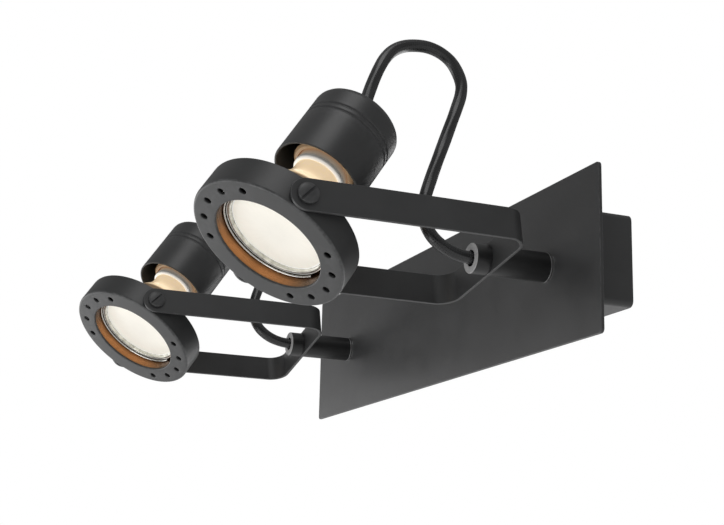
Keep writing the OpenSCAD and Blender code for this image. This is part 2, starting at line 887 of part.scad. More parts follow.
module tilt_screws(side) {
    color(black)
        on_head(side)
            for (sx = [-1, 1])
                mirror([sx < 0 ? 1 : 0, 0, 0])
                    difference() {
                        union() {
                            x_cylinder(tilt_screw_end, tilt_head_in + cut / 2, tilt_screw_r);
                            x_cylinder(tilt_head_in, tilt_head_in + tilt_head_t, tilt_head_r);
                        }
                        translate([tilt_head_in + tilt_head_t - tilt_slot_d, 0, 0])
                            rotate([45, 0, 0])
                                translate([0, -tilt_slot_w / 2, -tilt_head_r - cut])
                                    cube([tilt_slot_d + cut, tilt_slot_w, 2 * (tilt_head_r + cut)]);
                    }
}

module tilt_washers(side) {
    color(steel)
        on_head(side)
            for (sx = [-1, 1])
                mirror([sx < 0 ? 1 : 0, 0, 0])
                    difference() {
                        x_cylinder(boss_out, boss_out + tilt_washer_t, tilt_washer_r);
                        x_cylinder(boss_out - cut, boss_out + tilt_washer_t + cut, tilt_screw_r + fit_gap);
                    }
}

module lamp_lens(side) {
    crown_r = (lens_r * lens_r + lens_crown * lens_crown) / (2 * lens_crown);
    crown_a = asin(lens_r / crown_r);
    color([0.96, 0.94, 0.88])
        on_head(side)
            rotate_extrude($fn = fine_fn)
                polygon(concat([[0, lens_edge - lens_t], [lens_r, lens_edge - lens_t]],
                               arc([0, lens_edge + lens_crown - crown_r], crown_r, 90 - crown_a, 90)));
}

module lamp_reflector(side) {
    outside = [for (p = bowl) [p[0], lamp_seat + p[1]]];
    inside = [for (i = [len(bowl) - 1:-1:0]) [bowl[i][0] - glass_t, lamp_seat + bowl[i][1]]];
    color([0.93, 0.8, 0.55])
        on_head(side)
            rotate_extrude($fn = fine_fn)
                polygon(concat([[lens_slip_r, lamp_front - rim_round], [lens_slip_r + rim_round, lamp_front],
                                [lamp_r - rim_round, lamp_front], [lamp_r, lamp_front - rim_round],
                                [lamp_r, lamp_seat]],
                               outside, inside,
                               [[lens_shelf_r, lens_edge - lens_t], [lens_slip_r, lens_edge - lens_t]]));
}

module lamp_base(side) {
    color([0.92, 0.88, 0.8])
        on_head(side)
            rotate_extrude($fn = fine_fn)
                polygon([[0, neck_front], [neck_r - neck_round, neck_front],
                         [neck_r, neck_front - neck_round], [neck_r, neck_rear],
                         [base_r, neck_rear - neck_step], [base_r, base_rear + base_chamfer],
                         [base_r - base_chamfer, base_rear], [0, base_rear]]);
}

module lamp_pins(side) {
    color(steel)
        on_head(side)
            for (sy = [-1, 1])
                translate([0, sy * pin_pitch / 2, 0]) {
                    translate([0, 0, base_rear - pin_len])
                        cylinder(h = pin_len, r = pin_r, $fn = small_fn);
                    translate([0, 0, base_rear - pin_len])
                        cylinder(h = pin_tip_t, r = pin_tip_r, $fn = small_fn);
                }
}

module lampholder(side) {
    color([0.9, 0.88, 0.83])
        on_head(side)
            difference() {
                rotate_extrude($fn = fine_fn)
                    polygon([[0, holder_rear], [holder_r, holder_rear], [holder_r, holder_lip - holder_edge],
                             [holder_r - holder_edge, holder_lip], [holder_bore_r, holder_lip],
                             [holder_bore_r, holder_front], [0, holder_front]]);
                for (sy = [-1, 1])
                    translate([0, sy * pin_pitch / 2, holder_front - holder_slot_depth])
                        cylinder(h = holder_slot_depth + cut, r = holder_slot_r, $fn = small_fn);
                for (sx = [-1, 1])
                    translate([sx * holder_screw_x, 0, holder_rear - cut])
                        cylinder(h = holder_hole_depth + cut, r = holder_screw_r + thread_gap, $fn = small_fn);
            }
}

// Two screws through the cap's back with their spacers
module holder_screws(side) {
    color(steel)
        on_head(side)
            for (sx = [-1, 1])
                translate([sx * holder_screw_x, 0, 0]) {
                    translate([0, 0, -cap_back - holder_head_t])
                        cylinder(h = holder_head_t, r = holder_head_r, $fn = small_fn);
                    translate([0, 0, -cap_back - cut / 2])
                        cylinder(h = cap_back + cut / 2 + holder_rear + holder_screw_grip, r = holder_screw_r,
                                 $fn = small_fn);
                    translate([0, 0, cap_inside])
                        cylinder(h = holder_rear - cap_inside, r = spacer_r, $fn = small_fn);
                }
}

module cap(side) {
    in_r = cap_r - cap_wall;
    in_edge = cap_edge_r - cap_wall;
    grooves = [for (g = [groove_s - groove_step / 2, groove_s + groove_step / 2])
        each [[cap_r, g - groove_w / 2], [cap_r - groove_d, g - groove_w / 4],
              [cap_r - groove_d, g + groove_w / 4], [cap_r, g + groove_w / 2]]];
    color(black)
        on_head(side)
            difference() {
                rotate_extrude($fn = fine_fn)
                    polygon(concat([[bushing_hole_r, -cap_back]],
                                   arc([cap_r - cap_edge_r, -cap_back + cap_edge_r], cap_edge_r, -90, 0),
                                   grooves,
                                   [[cap_r, -cap_mouth], [in_r, -cap_mouth]],
                                   arc([in_r - in_edge, cap_inside + in_edge], in_edge, 0, -90),
                                   [[bushing_hole_r, cap_inside]]));
                for (sx = [-1, 1])
                    translate([sx * holder_screw_x, 0, -cap_back - cut])
                        cylinder(h = cap_wall + 2 * cut, r = holder_screw_r + thread_gap, $fn = small_fn);
            }
}

module cap_bushing(side) {
    color([0.09, 0.09, 0.095])
        on_head(side)
            rotate_extrude($fn = fine_fn)
                polygon([[bushing_bore_r, -cap_back - bushing_len], [bushing_tip_r, -cap_back - bushing_len],
                         [bushing_r, -cap_back - bushing_flange_t], [bushing_r, -cap_back],
                         [bushing_hole_r - thread_gap, -cap_back],
                         [bushing_hole_r - thread_gap, cap_inside], [bushing_r, cap_inside],
                         [bushing_r, cap_inside + bushing_flange_t],
                         [bushing_bore_r, cap_inside + bushing_flange_t]]);
}

front_plate();
housing();
plate_nuts();
wall_bracket();
side_screws();
terminal_block();
terminal_sleeves();
terminal_screws();
block_screw();
earth_screw();
mains_grommet();
stem(left);  // stem_left
stem(right);  // stem_right
stem_washer(left);  // stem_washer_left
stem_washer(right);  // stem_washer_right
stem_nut(left);  // stem_nut_left
stem_nut(right);  // stem_nut_right
lamp_wires(left);  // lamp_wires_left
lamp_wires(right);  // lamp_wires_right
swivel_tube(left);  // swivel_tube_left
swivel_tube(right);  // swivel_tube_right
swivel_washer(left);  // swivel_washer_left
swivel_washer(right);  // swivel_washer_right
swivel_nut(left);  // swivel_nut_left
swivel_nut(right);  // swivel_nut_right
yoke(left);  // yoke_left
yoke(right);  // yoke_right
collar(left);  // collar_left
collar(right);  // collar_right
cable(left);  // cable_left
cable(right);  // cable_right
ring(left);  // ring_left
ring(right);  // ring_right
liner(left);  // liner_left
liner(right);  // liner_right
lamp_clip(left);  // lamp_clip_left
lamp_clip(right);  // lamp_clip_right
tilt_screws(left);  // tilt_screws_left
tilt_screws(right);  // tilt_screws_right
tilt_washers(left);  // tilt_washers_left
tilt_washers(right);  // tilt_washers_right
lamp_lens(left);  // lamp_lens_left
lamp_lens(right);  // lamp_lens_right
lamp_reflector(left);  // lamp_reflector_left
lamp_reflector(right);  // lamp_reflector_right
lamp_base(left);  // lamp_base_left
lamp_base(right);  // lamp_base_right
lamp_pins(left);  // lamp_pins_left
lamp_pins(right);  // lamp_pins_right
lampholder(left);  // lampholder_left
lampholder(right);  // lampholder_right
holder_screws(left);  // holder_screws_left
holder_screws(right);  // holder_screws_right
cap(left);  // cap_left
cap(right);  // cap_right
cap_bushing(left);  // cap_bushing_left
cap_bushing(right);  // cap_bushing_right
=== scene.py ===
"""Spotlight bar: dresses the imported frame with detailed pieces, finishes, light and a camera."""

import json
import math

import bmesh
import bpy
from bpy.props import FloatProperty, FloatVectorProperty, IntProperty, PointerProperty
from mathutils import Matrix, Vector


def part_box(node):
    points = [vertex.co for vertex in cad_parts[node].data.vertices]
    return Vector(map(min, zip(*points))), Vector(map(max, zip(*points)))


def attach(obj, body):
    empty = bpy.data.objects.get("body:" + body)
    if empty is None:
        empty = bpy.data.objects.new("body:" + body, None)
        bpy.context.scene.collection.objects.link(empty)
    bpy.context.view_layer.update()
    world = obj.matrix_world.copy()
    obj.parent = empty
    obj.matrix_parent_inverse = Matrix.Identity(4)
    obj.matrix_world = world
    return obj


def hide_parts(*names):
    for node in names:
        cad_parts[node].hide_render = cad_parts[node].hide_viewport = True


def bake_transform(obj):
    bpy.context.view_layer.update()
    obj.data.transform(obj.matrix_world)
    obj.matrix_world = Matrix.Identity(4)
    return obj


bl_info = {
    "name": "Spotlight bar",
    "version": (1, 0, 0),
    "blender": (4, 5, 0),
    "location": "3D View > Sidebar > Spotlight bar",
    "description": "Makes the pieces and finishes of a two-spot wall bar around its packed frame",
    "category": "Object",
}

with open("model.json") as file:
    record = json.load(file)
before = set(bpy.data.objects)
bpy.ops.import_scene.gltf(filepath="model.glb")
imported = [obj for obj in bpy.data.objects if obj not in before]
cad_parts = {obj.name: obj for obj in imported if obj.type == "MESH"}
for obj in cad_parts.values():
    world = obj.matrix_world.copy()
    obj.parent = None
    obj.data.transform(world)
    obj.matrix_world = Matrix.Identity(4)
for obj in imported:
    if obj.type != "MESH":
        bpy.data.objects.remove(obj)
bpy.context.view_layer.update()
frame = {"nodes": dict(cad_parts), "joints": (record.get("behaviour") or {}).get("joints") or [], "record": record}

MM = 0.001
SIDES = ("left", "right")
JOINTS = {joint["name"]: joint for joint in frame["joints"]}
OUT = Vector((0, -1, 0))
PLATE_FRONT = -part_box("front_plate")[0].y / MM


# Sizes and colours that a user would change

def length_property(name, description, size, low, high):
    """A length with its default and its limits, all three in millimetres."""
    return FloatProperty(name=name, description=description, default=size * MM,
                         min=low * MM, max=high * MM, unit="LENGTH", precision=5)


class BarSizes(bpy.types.PropertyGroup):
    """The front plate, the box behind it, the wall bracket and the stems."""

    sheet_edge: length_property(
        "Sheet edge", "Rounding of the cut edges of the sheet metal", 0.3, 0.05, 0.6)
    plate_corner: length_property("Plate corner", "Corner radius of the front plate", 2, 0.5, 6)
    plate_thickness: length_property("Plate thickness", "Thickness of the front plate", 1.6, 1, 3)
    box_wall: length_property("Box wall", "Sheet thickness of the box behind the plate", 1.2, 0.8, 1.6)
    box_corner: length_property("Box corner", "Radius of the box's upright edges", 3, 2, 5)
    stem_radius: length_property("Stem radius", "Outer radius of a stem and of its collar", 7.1, 6.8, 9)
    stem_length: length_property("Stem length", "Length of a stem in front of the plate", 29.4, 20, 36)
    collar_length: length_property("Collar length", "Length of the collar in front of the yoke", 7.8, 6, 9)


class YokeSizes(bpy.types.PropertyGroup):
    """The bent strip that carries a ring."""

    width: length_property("Strip width", "Width of the yoke's strip", 14.8, 13, 15.2)
    thickness: length_property("Strip thickness", "Thickness of the yoke's strip", 1.5, 1.2, 2)
    bend: length_property("Bend radius", "Outer bend radius of the yoke", 10.5, 6, 11)
    half_span: length_property(
        "Half span", "Distance from the middle to an arm's outer face", 39.1, 38, 40)
    web_out: length_property("Web distance", "Distance of the web from the front plate", 29.5, 20, 36)
    edge: length_property("Strip edge", "Rounding of the strip's edges", 0.28, 0.05, 0.6)


class HeadSizes(bpy.types.PropertyGroup):
    """The ring, its lamp and the rear cap."""

    ring_radius: length_property("Ring radius", "Outer radius of the ring", 37.1, 36, 40)
    opening_radius: length_property("Opening radius", "Radius of the ring's front opening", 25.8, 25.5, 26)
    ring_front: length_property(
        "Ring front", "Distance of the ring's face ahead of the tilt axis", 7.7, 7, 8.5)
    ring_depth: length_property(
        "Ring depth", "Depth of the ring from its face to its rear edge", 14.3, 13, 16)
    vent_count: IntProperty(
        name="Vent holes", description="Vent holes in each of the two groups", default=5, min=3, max=5)
    vent_step: FloatProperty(
        name="Vent step", description="Angle between neighbouring vent holes",
        default=math.radians(23), min=math.radians(16), max=math.radians(23), subtype="ANGLE")
    lamp_front: length_property(
        "Lamp front", "Distance of the lamp's rim ahead of the tilt axis", 0.4, 0, 1)
    cap_radius: length_property("Cap radius", "Outer radius of the rear cap", 21.4, 20.5, 24)
    cap_mouth: length_property(
        "Cap mouth", "Distance of the cap's open end behind the tilt axis", 34.9, 34, 37)
    cap_back: length_property(
        "Cap back", "Distance of the cap's closed back behind the tilt axis", 74.5, 74, 75)


class CableSizes(bpy.types.PropertyGroup):
    """The looped cable of a spot."""

    radius: length_property("Cable radius", "Radius of the cable over its braid", 3, 2.5, 3)
    strands: IntProperty(
        name="Strands", description="Strands of the braid in each direction", default=16, min=8, max=24)
    relief: FloatProperty(
        name="Braid relief", description="Depth of the braid's hollows",
        default=0.02 * MM, min=0, max=0.2 * MM, unit="LENGTH", precision=6)
    ridges: IntProperty(
        name="Ridges", description="Ridges that the twisted cores raise in the sheath",
        default=6, min=0, max=9)
    ridge_depth: FloatProperty(
        name="Ridge depth", description="Depth of the hollows between the ridges",
        default=0.1 * MM, min=0, max=0.4 * MM, unit="LENGTH", precision=6)
    lay: FloatProperty(
        name="Lay", description="Length of cable in which the cores turn once",
        default=150 * MM, min=30 * MM, max=300 * MM, unit="LENGTH")


class FinishColours(bpy.types.PropertyGroup):
    """Colours of the painted, plated and moulded pieces, in linear light."""

    black: FloatVectorProperty(
        name="Black paint", description="Powder coat of the plate, box, stems, yokes and caps",
        default=(0.026, 0.0264, 0.027), min=0, max=1, subtype="COLOR")
    ring: FloatVectorProperty(
        name="Ring paint", description="Powder coat of the rings",
        default=(0.022, 0.0225, 0.023), min=0, max=1, subtype="COLOR")
    cable: FloatVectorProperty(
        name="Cable braid", description="Braid of the spot cables",
        default=(0.014, 0.0143, 0.015), min=0, max=1, subtype="COLOR")
    copper: FloatVectorProperty(
        name="Copper liner", description="Copper coloured coat inside the rings",
        default=(0.46, 0.2, 0.075), min=0, max=1, subtype="COLOR")
    lens: FloatVectorProperty(
        name="Frosted lens", description="Frosted front glass of the lamps",
        default=(0.9, 0.865, 0.78), min=0, max=1, subtype="COLOR")
    bowl: FloatVectorProperty(
        name="Lamp bowl", description="Coated glass bowl of the lamps",
        default=(1.0, 0.8, 0.5), min=0, max=1, subtype="COLOR")
    ceramic: FloatVectorProperty(
        name="Lamp ceramic", description="Base of the lamps",
        default=(0.84, 0.6, 0.38), min=0, max=1, subtype="COLOR")
    steel: FloatVectorProperty(
        name="Zinc steel", description="Zinc plated steel of the bracket, nuts and washers",
        default=(0.56, 0.57, 0.58), min=0, max=1, subtype="COLOR")


class StageSettings(bpy.types.PropertyGroup):
    """The camera, the floor and the light."""

    focal_length: FloatProperty(
        name="Focal length", description="Focal length of the camera on a 36 mm sensor",
        default=68.27, min=20, max=200, unit="CAMERA")
    azimuth: FloatProperty(
        name="Azimuth", description="Turn of the camera round the object",
        default=math.radians(67.591), subtype="ANGLE")
    elevation: FloatProperty(
        name="Elevation", description="Height angle of the camera, below the object when negative",
        default=math.radians(-13.895), subtype="ANGLE")
    roll: FloatProperty(
        name="Roll", description="Turn of the camera about its line of sight",
        default=math.radians(1.385), subtype="ANGLE")
    place: FloatVectorProperty(
        name="Camera place", description="Where the camera stands",
        default=(0.6606, -0.3418, -0.1525), subtype="TRANSLATION", unit="LENGTH")
    floor_depth: FloatProperty(
        name="Floor depth", description="How far the floor lies below the bar",
        default=0.62, min=0.3, max=2, unit="LENGTH")
    key_power: FloatProperty(
        name="Key light", description="Power of the soft light overhead",
        default=5.4, min=0, max=100, unit="POWER")
    front_power: FloatProperty(
        name="Front fill", description="Power of the low fill in front of the lamps",
        default=3.6, min=0, max=100, unit="POWER")
    side_power: FloatProperty(
        name="Side fill", description="Power of the low fill at the far end",
        default=3.2, min=0, max=100, unit="POWER")
    rim_power: FloatProperty(
        name="Rim light", description="Power of the light that edges the caps and rings from behind",
        default=4.5, min=0, max=100, unit="POWER")
    surround: FloatProperty(
        name="Surround", description="Brightness of the surround that lights the bar",
        default=0.62, min=0, max=2)
    mirrored: FloatProperty(
        name="Mirrored surround", description="Brightness of the surround in reflections",
        default=0.3, min=0, max=2)


# Places: x across, y up or across, z out from the wall or towards the light, in millimetres

def axes_frame(origin, x_axis, z_axis):
    """The matrix of a piece's own axes in the row frame."""
    x_axis, z_axis = Vector(x_axis).normalized(), Vector(z_axis).normalized()
    y_axis = z_axis.cross(x_axis)
    matrix = Matrix((x_axis, y_axis, z_axis)).transposed().to_4x4()
    matrix.translation = origin
    return matrix


def wall_frame():
    """z is the distance from the wall."""
    return axes_frame((0, 0, 0), (1, 0, 0), OUT)


def stem_frame(side):
    """z is the distance from the plate's front on the stem axis."""
    return axes_frame(JOINTS[f"swivel_{side}"]["pos_m"], (1, 0, 0), OUT)


def yoke_frame(side):
    """x is the tilt axis, z the distance from the plate's front."""
    return axes_frame(JOINTS[f"swivel_{side}"]["pos_m"], JOINTS[f"tilt_{side}"]["axis"], OUT)


def head_frame(side):
    """x is the tilt axis, z points along the light."""
    low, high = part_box(f"lampholder_{side}")
    pivot = Vector(JOINTS[f"tilt_{side}"]["pos_m"])
    return axes_frame(pivot, JOINTS[f"tilt_{side}"]["axis"], pivot - (low + high) / 2)


# Outlines and profiles, each a list of (x, y) or (radius, z) points

ARC_STEPS = 5


def rounded(points, radii, closed=True):
    """The outline with an arc at each corner, and each point's share of edge wear and painted highlight."""
    if not hasattr(radii, "__len__"):
        radii = [radii] * len(points)
    made, wear_and_highlight = [], []
    for i, point in enumerate(points):
        corner, radius = Vector(point), radii[i]
        at_end = not closed and i in (0, len(points) - 1)
        if radius <= 0 or at_end:
            made.append(tuple(corner))
            wear_and_highlight.append(0.0)
            continue
        before = (Vector(points[i - 1]) - corner).normalized()
        after = (Vector(points[(i + 1) % len(points)]) - corner).normalized()
        half = before.angle(after) / 2
        middle = corner + (before + after).normalized() * radius / math.sin(half)
        start = corner + before * radius / math.tan(half) - middle
        end = corner + after * radius / math.tan(half) - middle
        turn = start.angle_signed(end)
        for k in range(ARC_STEPS + 1):
            angle = -turn * k / ARC_STEPS
            c, s = math.cos(angle), math.sin(angle)
            made.append((middle.x + start.x * c - start.y * s, middle.y + start.x * s + start.y * c))
            wear_and_highlight.append(0.0 if k in (0, ARC_STEPS) else 1.0)
    return made, wear_and_highlight


def run(points, radii):
    """The rounded outline between its first and last point, and its share of edge wear and painted highlight."""
    made, wear_and_highlight = rounded(points, radii, closed=False)
    return made[1:-1], wear_and_highlight[1:-1]


def circle(radius, sides, centre=(0, 0)):
    return [(centre[0] + radius * math.cos(math.tau * k / sides),
             centre[1] + radius * math.sin(math.tau * k / sides)) for k in range(sides)]


def round_rectangle(width, height, radius):
    corners = [(-width / 2, -height / 2), (width / 2, -height / 2),
               (width / 2, height / 2), (-width / 2, height / 2)]
    return rounded(corners, radius)[0]


def stadium(length, width, centre=(0, 0), steps=12):
    """A slot's outline along x."""
    made = []
    for sign in (1, -1):
        for k in range(steps + 1):
            angle = math.pi * (k / steps - 0.5)
            made.append((centre[0] + sign * ((length - width) / 2 + width / 2 * math.cos(angle)),
                         centre[1] + sign * width / 2 * math.sin(angle)))
    return made


def offset(outline, inset):
    """The closed outline moved inwards by inset, or outwards where it is negative."""
    count, made = len(outline), []
    for i in range(count):
        a, b, c = (Vector(outline[(i + k) % count]) for k in (-1, 0, 1))
        first, second = (b - a).normalized(), (c - b).normalized()
        normals = Vector((-first.y, first.x)) + Vector((-second.y, second.x))
        moved = b + normals * inset / (1 + first.dot(second))
        made.append((moved.x, moved.y))
    return made


def edge_profile(thickness, edge):
    """(inset, depth, share of wear and painted highlight) from a sheet's back face round its cut edge to its front
    face.
    """
    points, wear_and_highlight = run([(edge * 2, 0), (0, 0), (0, thickness), (edge * 2, thickness)], edge)
    return [(x, y, w) for (x, y), w in zip(points, wear_and_highlight)]


def smooth_line(points, steps):
    """A curve through the points, with that many steps between each two."""
    made = []
    ends = [2 * points[0] - points[1], *points, 2 * points[-1] - points[-2]]
    for i in range(1, len(ends) - 2):
        p0, p1, p2, p3 = ends[i - 1:i + 3]
        t1 = (p1 - p0).length ** 0.5
        t2 = t1 + (p2 - p1).length ** 0.5
        t3 = t2 + (p3 - p2).length ** 0.5
        for k in range(steps):
            t = t1 + (t2 - t1) * k / steps
            a1 = p0 + (p1 - p0) * (t / t1)
            a2 = p1 + (p2 - p1) * ((t - t1) / (t2 - t1))
            a3 = p2 + (p3 - p2) * ((t - t2) / (t3 - t2))
            b1 = a1 + (a2 - a1) * (t / t2)
            b2 = a2 + (a3 - a2) * ((t - t1) / (t3 - t1))
            made.append(b1 + (b2 - b1) * ((t - t1) / (t2 - t1)))
    return made + [points[-1].copy()]


def evenly_spaced(points, step):
    """The line cut into equal steps of about that length, and its whole length."""
    along = [0.0]
    for a, b in zip(points, points[1:]):
        along.append(along[-1] + (b - a).length)
    count = round(along[-1] / step)
    made, leg = [], 0
    for i in range(count + 1):
        at = along[-1] * i / count
        while leg < len(along) - 2 and along[leg + 1] < at:
            leg += 1
        share = (at - along[leg]) / (along[leg + 1] - along[leg])
        made.append(points[leg].lerp(points[leg + 1], share))
    return made, along[-1]


# Mesh making

MERGE_MM = 1e-4
DOME_STEPS = 8


class PieceMesh:
    """A piece's mesh while it is made, in millimetres on its own axes."""

    def __init__(self):
        self.bm = bmesh.new()
        # Each point's share of the paler edge: edge wear and a painted highlight
        self.wear = self.bm.verts.layers.float.new("wear")

    def ring(self, points, wear_and_highlight=0.0):
        made = [self.bm.verts.new(p) for p in points]
        for vert in made:
            vert[self.wear] = wear_and_highlight
        return made

    def bridge(self, first, second, slot=0):
        for i in range(len(first)):
            j = (i + 1) % len(first)
            face = self.bm.faces.new((first[i], first[j], second[j], second[i]))
            face.material_index = slot

    def fan(self, ring, tip, slot=0):
        for i in range(len(ring)):
            face = self.bm.faces.new((ring[i], ring[(i + 1) % len(ring)], tip))
            face.material_index = slot

    def walls(self, rings):
        for first, second in zip(rings, rings[1:]):
            self.bridge(first, second)

    def rings(self, profile, sides, wear_and_highlight=None, centre=(0, 0)):
        """A round wall: a ring of points for each (radius, z) of the profile, joined by faces."""
        made = [self.ring([(x, y, z) for x, y in circle(radius, sides, centre)], w)
                for (radius, z), w in zip(profile, wear_and_highlight or [0.0] * len(profile))]
        self.walls(made)
        return made

    def fill(self, rings):
        """A flat face between the first ring and the holes that the others make."""
        edges = []
        for ring in rings:
            for i in range(len(ring)):
                pair = (ring[i], ring[(i + 1) % len(ring)])
                edges.append(self.bm.edges.get(pair) or self.bm.edges.new(pair))
        bmesh.ops.triangle_fill(self.bm, use_beauty=True, edges=edges)

    def close(self, walls):
        """Flat faces at both ends of walls that stand inside the first one, each a list of rings."""
        self.fill([rings[0] for rings in walls])
        self.fill([rings[-1] for rings in walls])

    def lathe(self, profile, sides, wear_and_highlight=None, slots=None, closed=True, matrix=Matrix.Identity(4)):
        """Turns (radius, z) points about z; a closed profile makes a ring with a bore."""
        wear_and_highlight = wear_and_highlight or [0.0] * len(profile)
        slots = slots or [0] * len(profile)
        rings = []
        for (radius, z), w in zip(profile, wear_and_highlight):
            if radius < MERGE_MM:
                rings.append(self.ring([matrix @ Vector((0, 0, z))], w)[0])
            else:
                rings.append(self.ring([matrix @ Vector((x, y, z)) for x, y in circle(radius, sides)], w))
        pairs = list(zip(rings, rings[1:], slots)) + ([(rings[-1], rings[0], slots[-1])] if closed else [])
        for first, second, slot in pairs:
            if isinstance(first, list) and isinstance(second, list):
                self.bridge(first, second, slot)
            elif isinstance(first, list):
                self.fan(first, second, slot)
            elif isinstance(second, list):
                self.fan(second, first, slot)

    def turned(self, corners, radii, sides, closed=True, matrix=Matrix.Identity(4)):
        """Rounds each (radius, z) corner by its own radius and turns the outline about z."""
        profile, wear_and_highlight = rounded(corners, radii, closed)
        self.lathe(profile, sides, wear_and_highlight, closed=closed, matrix=matrix)

    def sheet(self, outline, thickness, edge, holes=(), base=0.0):
        """A flat piece of sheet with rounded edges; holes are outlines, counterclockwise."""
        walls = []
        for k, loop in enumerate([outline, *holes]):
            sign = 1 if k == 0 else -1
            walls.append([self.ring([(x, y, base + depth) for x, y in offset(loop, sign * inset)], wear_and_highlight)
                          for inset, depth, wear_and_highlight in edge_profile(thickness, edge)])
            self.walls(walls[-1])
        self.close(walls)

    def cut(self, places, normal):
        """Adds edges across the mesh at planes, so that it can bend there."""
        for place in places:
            every = self.bm.verts[:] + self.bm.edges[:] + self.bm.faces[:]
            bmesh.ops.bisect_plane(self.bm, geom=every, plane_co=place, plane_no=normal)

    def bend(self, move):
        for vert in self.bm.verts:
            vert.co = move(vert.co)

    def add(self, mesh, matrix):
        """Puts a copy of a finished mesh in, moved by matrix."""
        copy = mesh.copy()
        copy.transform(matrix)
        self.bm.from_mesh(copy)
        bpy.data.meshes.remove(copy)

    def piece(self, name, matrix, body=None, node=None, slot=None, finishes=None, angle=38, weighted=True):
        """The finished object in its slot's finish, or in the ones named, riding on its body."""
        bm = self.bm
        bmesh.ops.remove_doubles(bm, verts=bm.verts, dist=MERGE_MM)
        bmesh.ops.recalc_face_normals(bm, faces=bm.faces)
        bmesh.ops.scale(bm, vec=(MM, MM, MM), verts=bm.verts)
        mesh = bpy.data.meshes.new(name)
        bm.to_mesh(mesh)
        bm.free()
        mesh.shade_smooth()
        mesh.set_sharp_from_angle(angle=math.radians(angle))
        for finish in finishes or ([slot] if slot else []):
            mesh.materials.append(finish_of(finish))
        made = bpy.data.objects.new(name, mesh)
        bpy.context.scene.collection.objects.link(made)
        made.matrix_world = matrix
        if weighted:
            made.modifiers.new("Even shading", "WEIGHTED_NORMAL").keep_sharp = True
        if body:
            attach(made, body)
        if node:
            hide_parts(node)
        return made


def slotted_screw(head_r, head_h, dome, shank_r, shank_len, slot_w, slot_d):
    """A screw with a domed, slotted head: z is 0 under the head and points out."""
    made = PieceMesh()
    profile, wear_and_highlight = rounded(
        [(0, -shank_len), (shank_r, -shank_len), (shank_r, 0), (head_r, 0), (head_r, head_h - dome)],
        [0, shank_r * 0.2, 0, 0.15, 0], closed=False)
    for k in range(1, DOME_STEPS + 1):
        angle = math.pi / 2 * k / DOME_STEPS
        profile.append((head_r * math.cos(angle), head_h - dome + dome * math.sin(angle)))
        # The dome's side gets a share of the paler edge: edge wear and a painted highlight
        wear_and_highlight.append(0.4 if k < 6 else 0.0)
    made.lathe(profile, 48, wear_and_highlight, closed=False)
    body = made.piece("screw_blank", Matrix.Identity(4), weighted=False)
    tool = PieceMesh()
    half, reach = slot_w / 2, head_r + 1
    floor = [tool.bm.verts.new((x, y, head_h - slot_d)) for x, y in
             ((-half, -reach), (half, -reach), (half, reach), (-half, reach))]
    roof = [tool.bm.verts.new((v.co.x, v.co.y, head_h + 1)) for v in floor]
    tool.bridge(floor, roof)
    tool.bm.faces.new(floor)
    tool.bm.faces.new(roof)
    cutter = tool.piece("slot_cutter", Matrix.Identity(4), weighted=False)
    cut = body.modifiers.new("Slot", "BOOLEAN")
    cut.operation, cut.solver, cut.object = "DIFFERENCE", "EXACT", cutter
    soften = body.modifiers.new("Soft edges", "BEVEL")
    soften.width, soften.segments, soften.angle_limit = 0.1 * MM, 2, math.radians(50)
    bpy.context.view_layer.update()
    mesh = bpy.data.meshes.new_from_object(body.evaluated_get(bpy.context.evaluated_depsgraph_get()))
    for helper in (body, cutter):
        data = helper.data
        bpy.data.objects.remove(helper)
        bpy.data.meshes.remove(data)
    mesh.transform(Matrix.Scale(1 / MM, 4))
    return mesh


# Finishes

COLOUR_MIX_INPUTS = (0, 6, 7)
COLOUR_MIX_OUTPUT = 2
NOISE_LOW, NOISE_HIGH = 0.3, 0.7
# Paler colour of the rounded edges, part edge wear and part painted highlight, and how much of it shows
EDGE_WEAR_AND_HIGHLIGHT_COLOUR = (0.15, 0.152, 0.155)
EDGE_WEAR_AND_HIGHLIGHT_SHARE = 0.25


class Nodes:
    """A node tree while it is made; an input is fed with an output or with a value."""

    def __init__(self, tree):
        self.tree = tree

    def put(self, socket, value):
        if isinstance(value, bpy.types.NodeSocket):
            self.tree.links.new(value, socket)
        elif socket.type == "RGBA":
            socket.default_value = (*value, 1)
        else:
            socket.default_value = value

    def node(self, kind, inputs=None, **settings):
        made = self.tree.nodes.new(kind)
        for key, value in settings.items():
            setattr(made, key, value)
        for key, value in (inputs or {}).items():
            self.put(made.inputs[key], value)
        return made

    def parts(self, vector):
        """The x, y and z of a vector."""
        return self.node("ShaderNodeSeparateXYZ", {"Vector": vector}).outputs

    def maths(self, operation, *values):
        return self.node("ShaderNodeMath", dict(enumerate(values)), operation=operation).outputs[0]

    def along(self, x, y, aim):
        """How far x and y reach along an aim."""
        return self.maths("ADD", self.maths("MULTIPLY", x, aim[0]), self.maths("MULTIPLY", y, aim[1]))

    def spread(self, value, low, high, out_low, out_high):
        """The value mapped from one range to another."""
        limits = {"From Min": low, "From Max": high, "To Min": out_low, "To Max": out_high}
        return self.node("ShaderNodeMapRange", {"Value": value, **limits}).outputs["Result"]

    def blend(self, factor, first, second):
        """A mix of two colours."""
        made = self.node("ShaderNodeMix", data_type="RGBA")
        for place, value in zip(COLOUR_MIX_INPUTS, (factor, first, second)):
            self.put(made.inputs[place], value)
        return made.outputs[COLOUR_MIX_OUTPUT]


def shade(colour, factor):
    return tuple(min(1.0, c * factor) for c in colour)


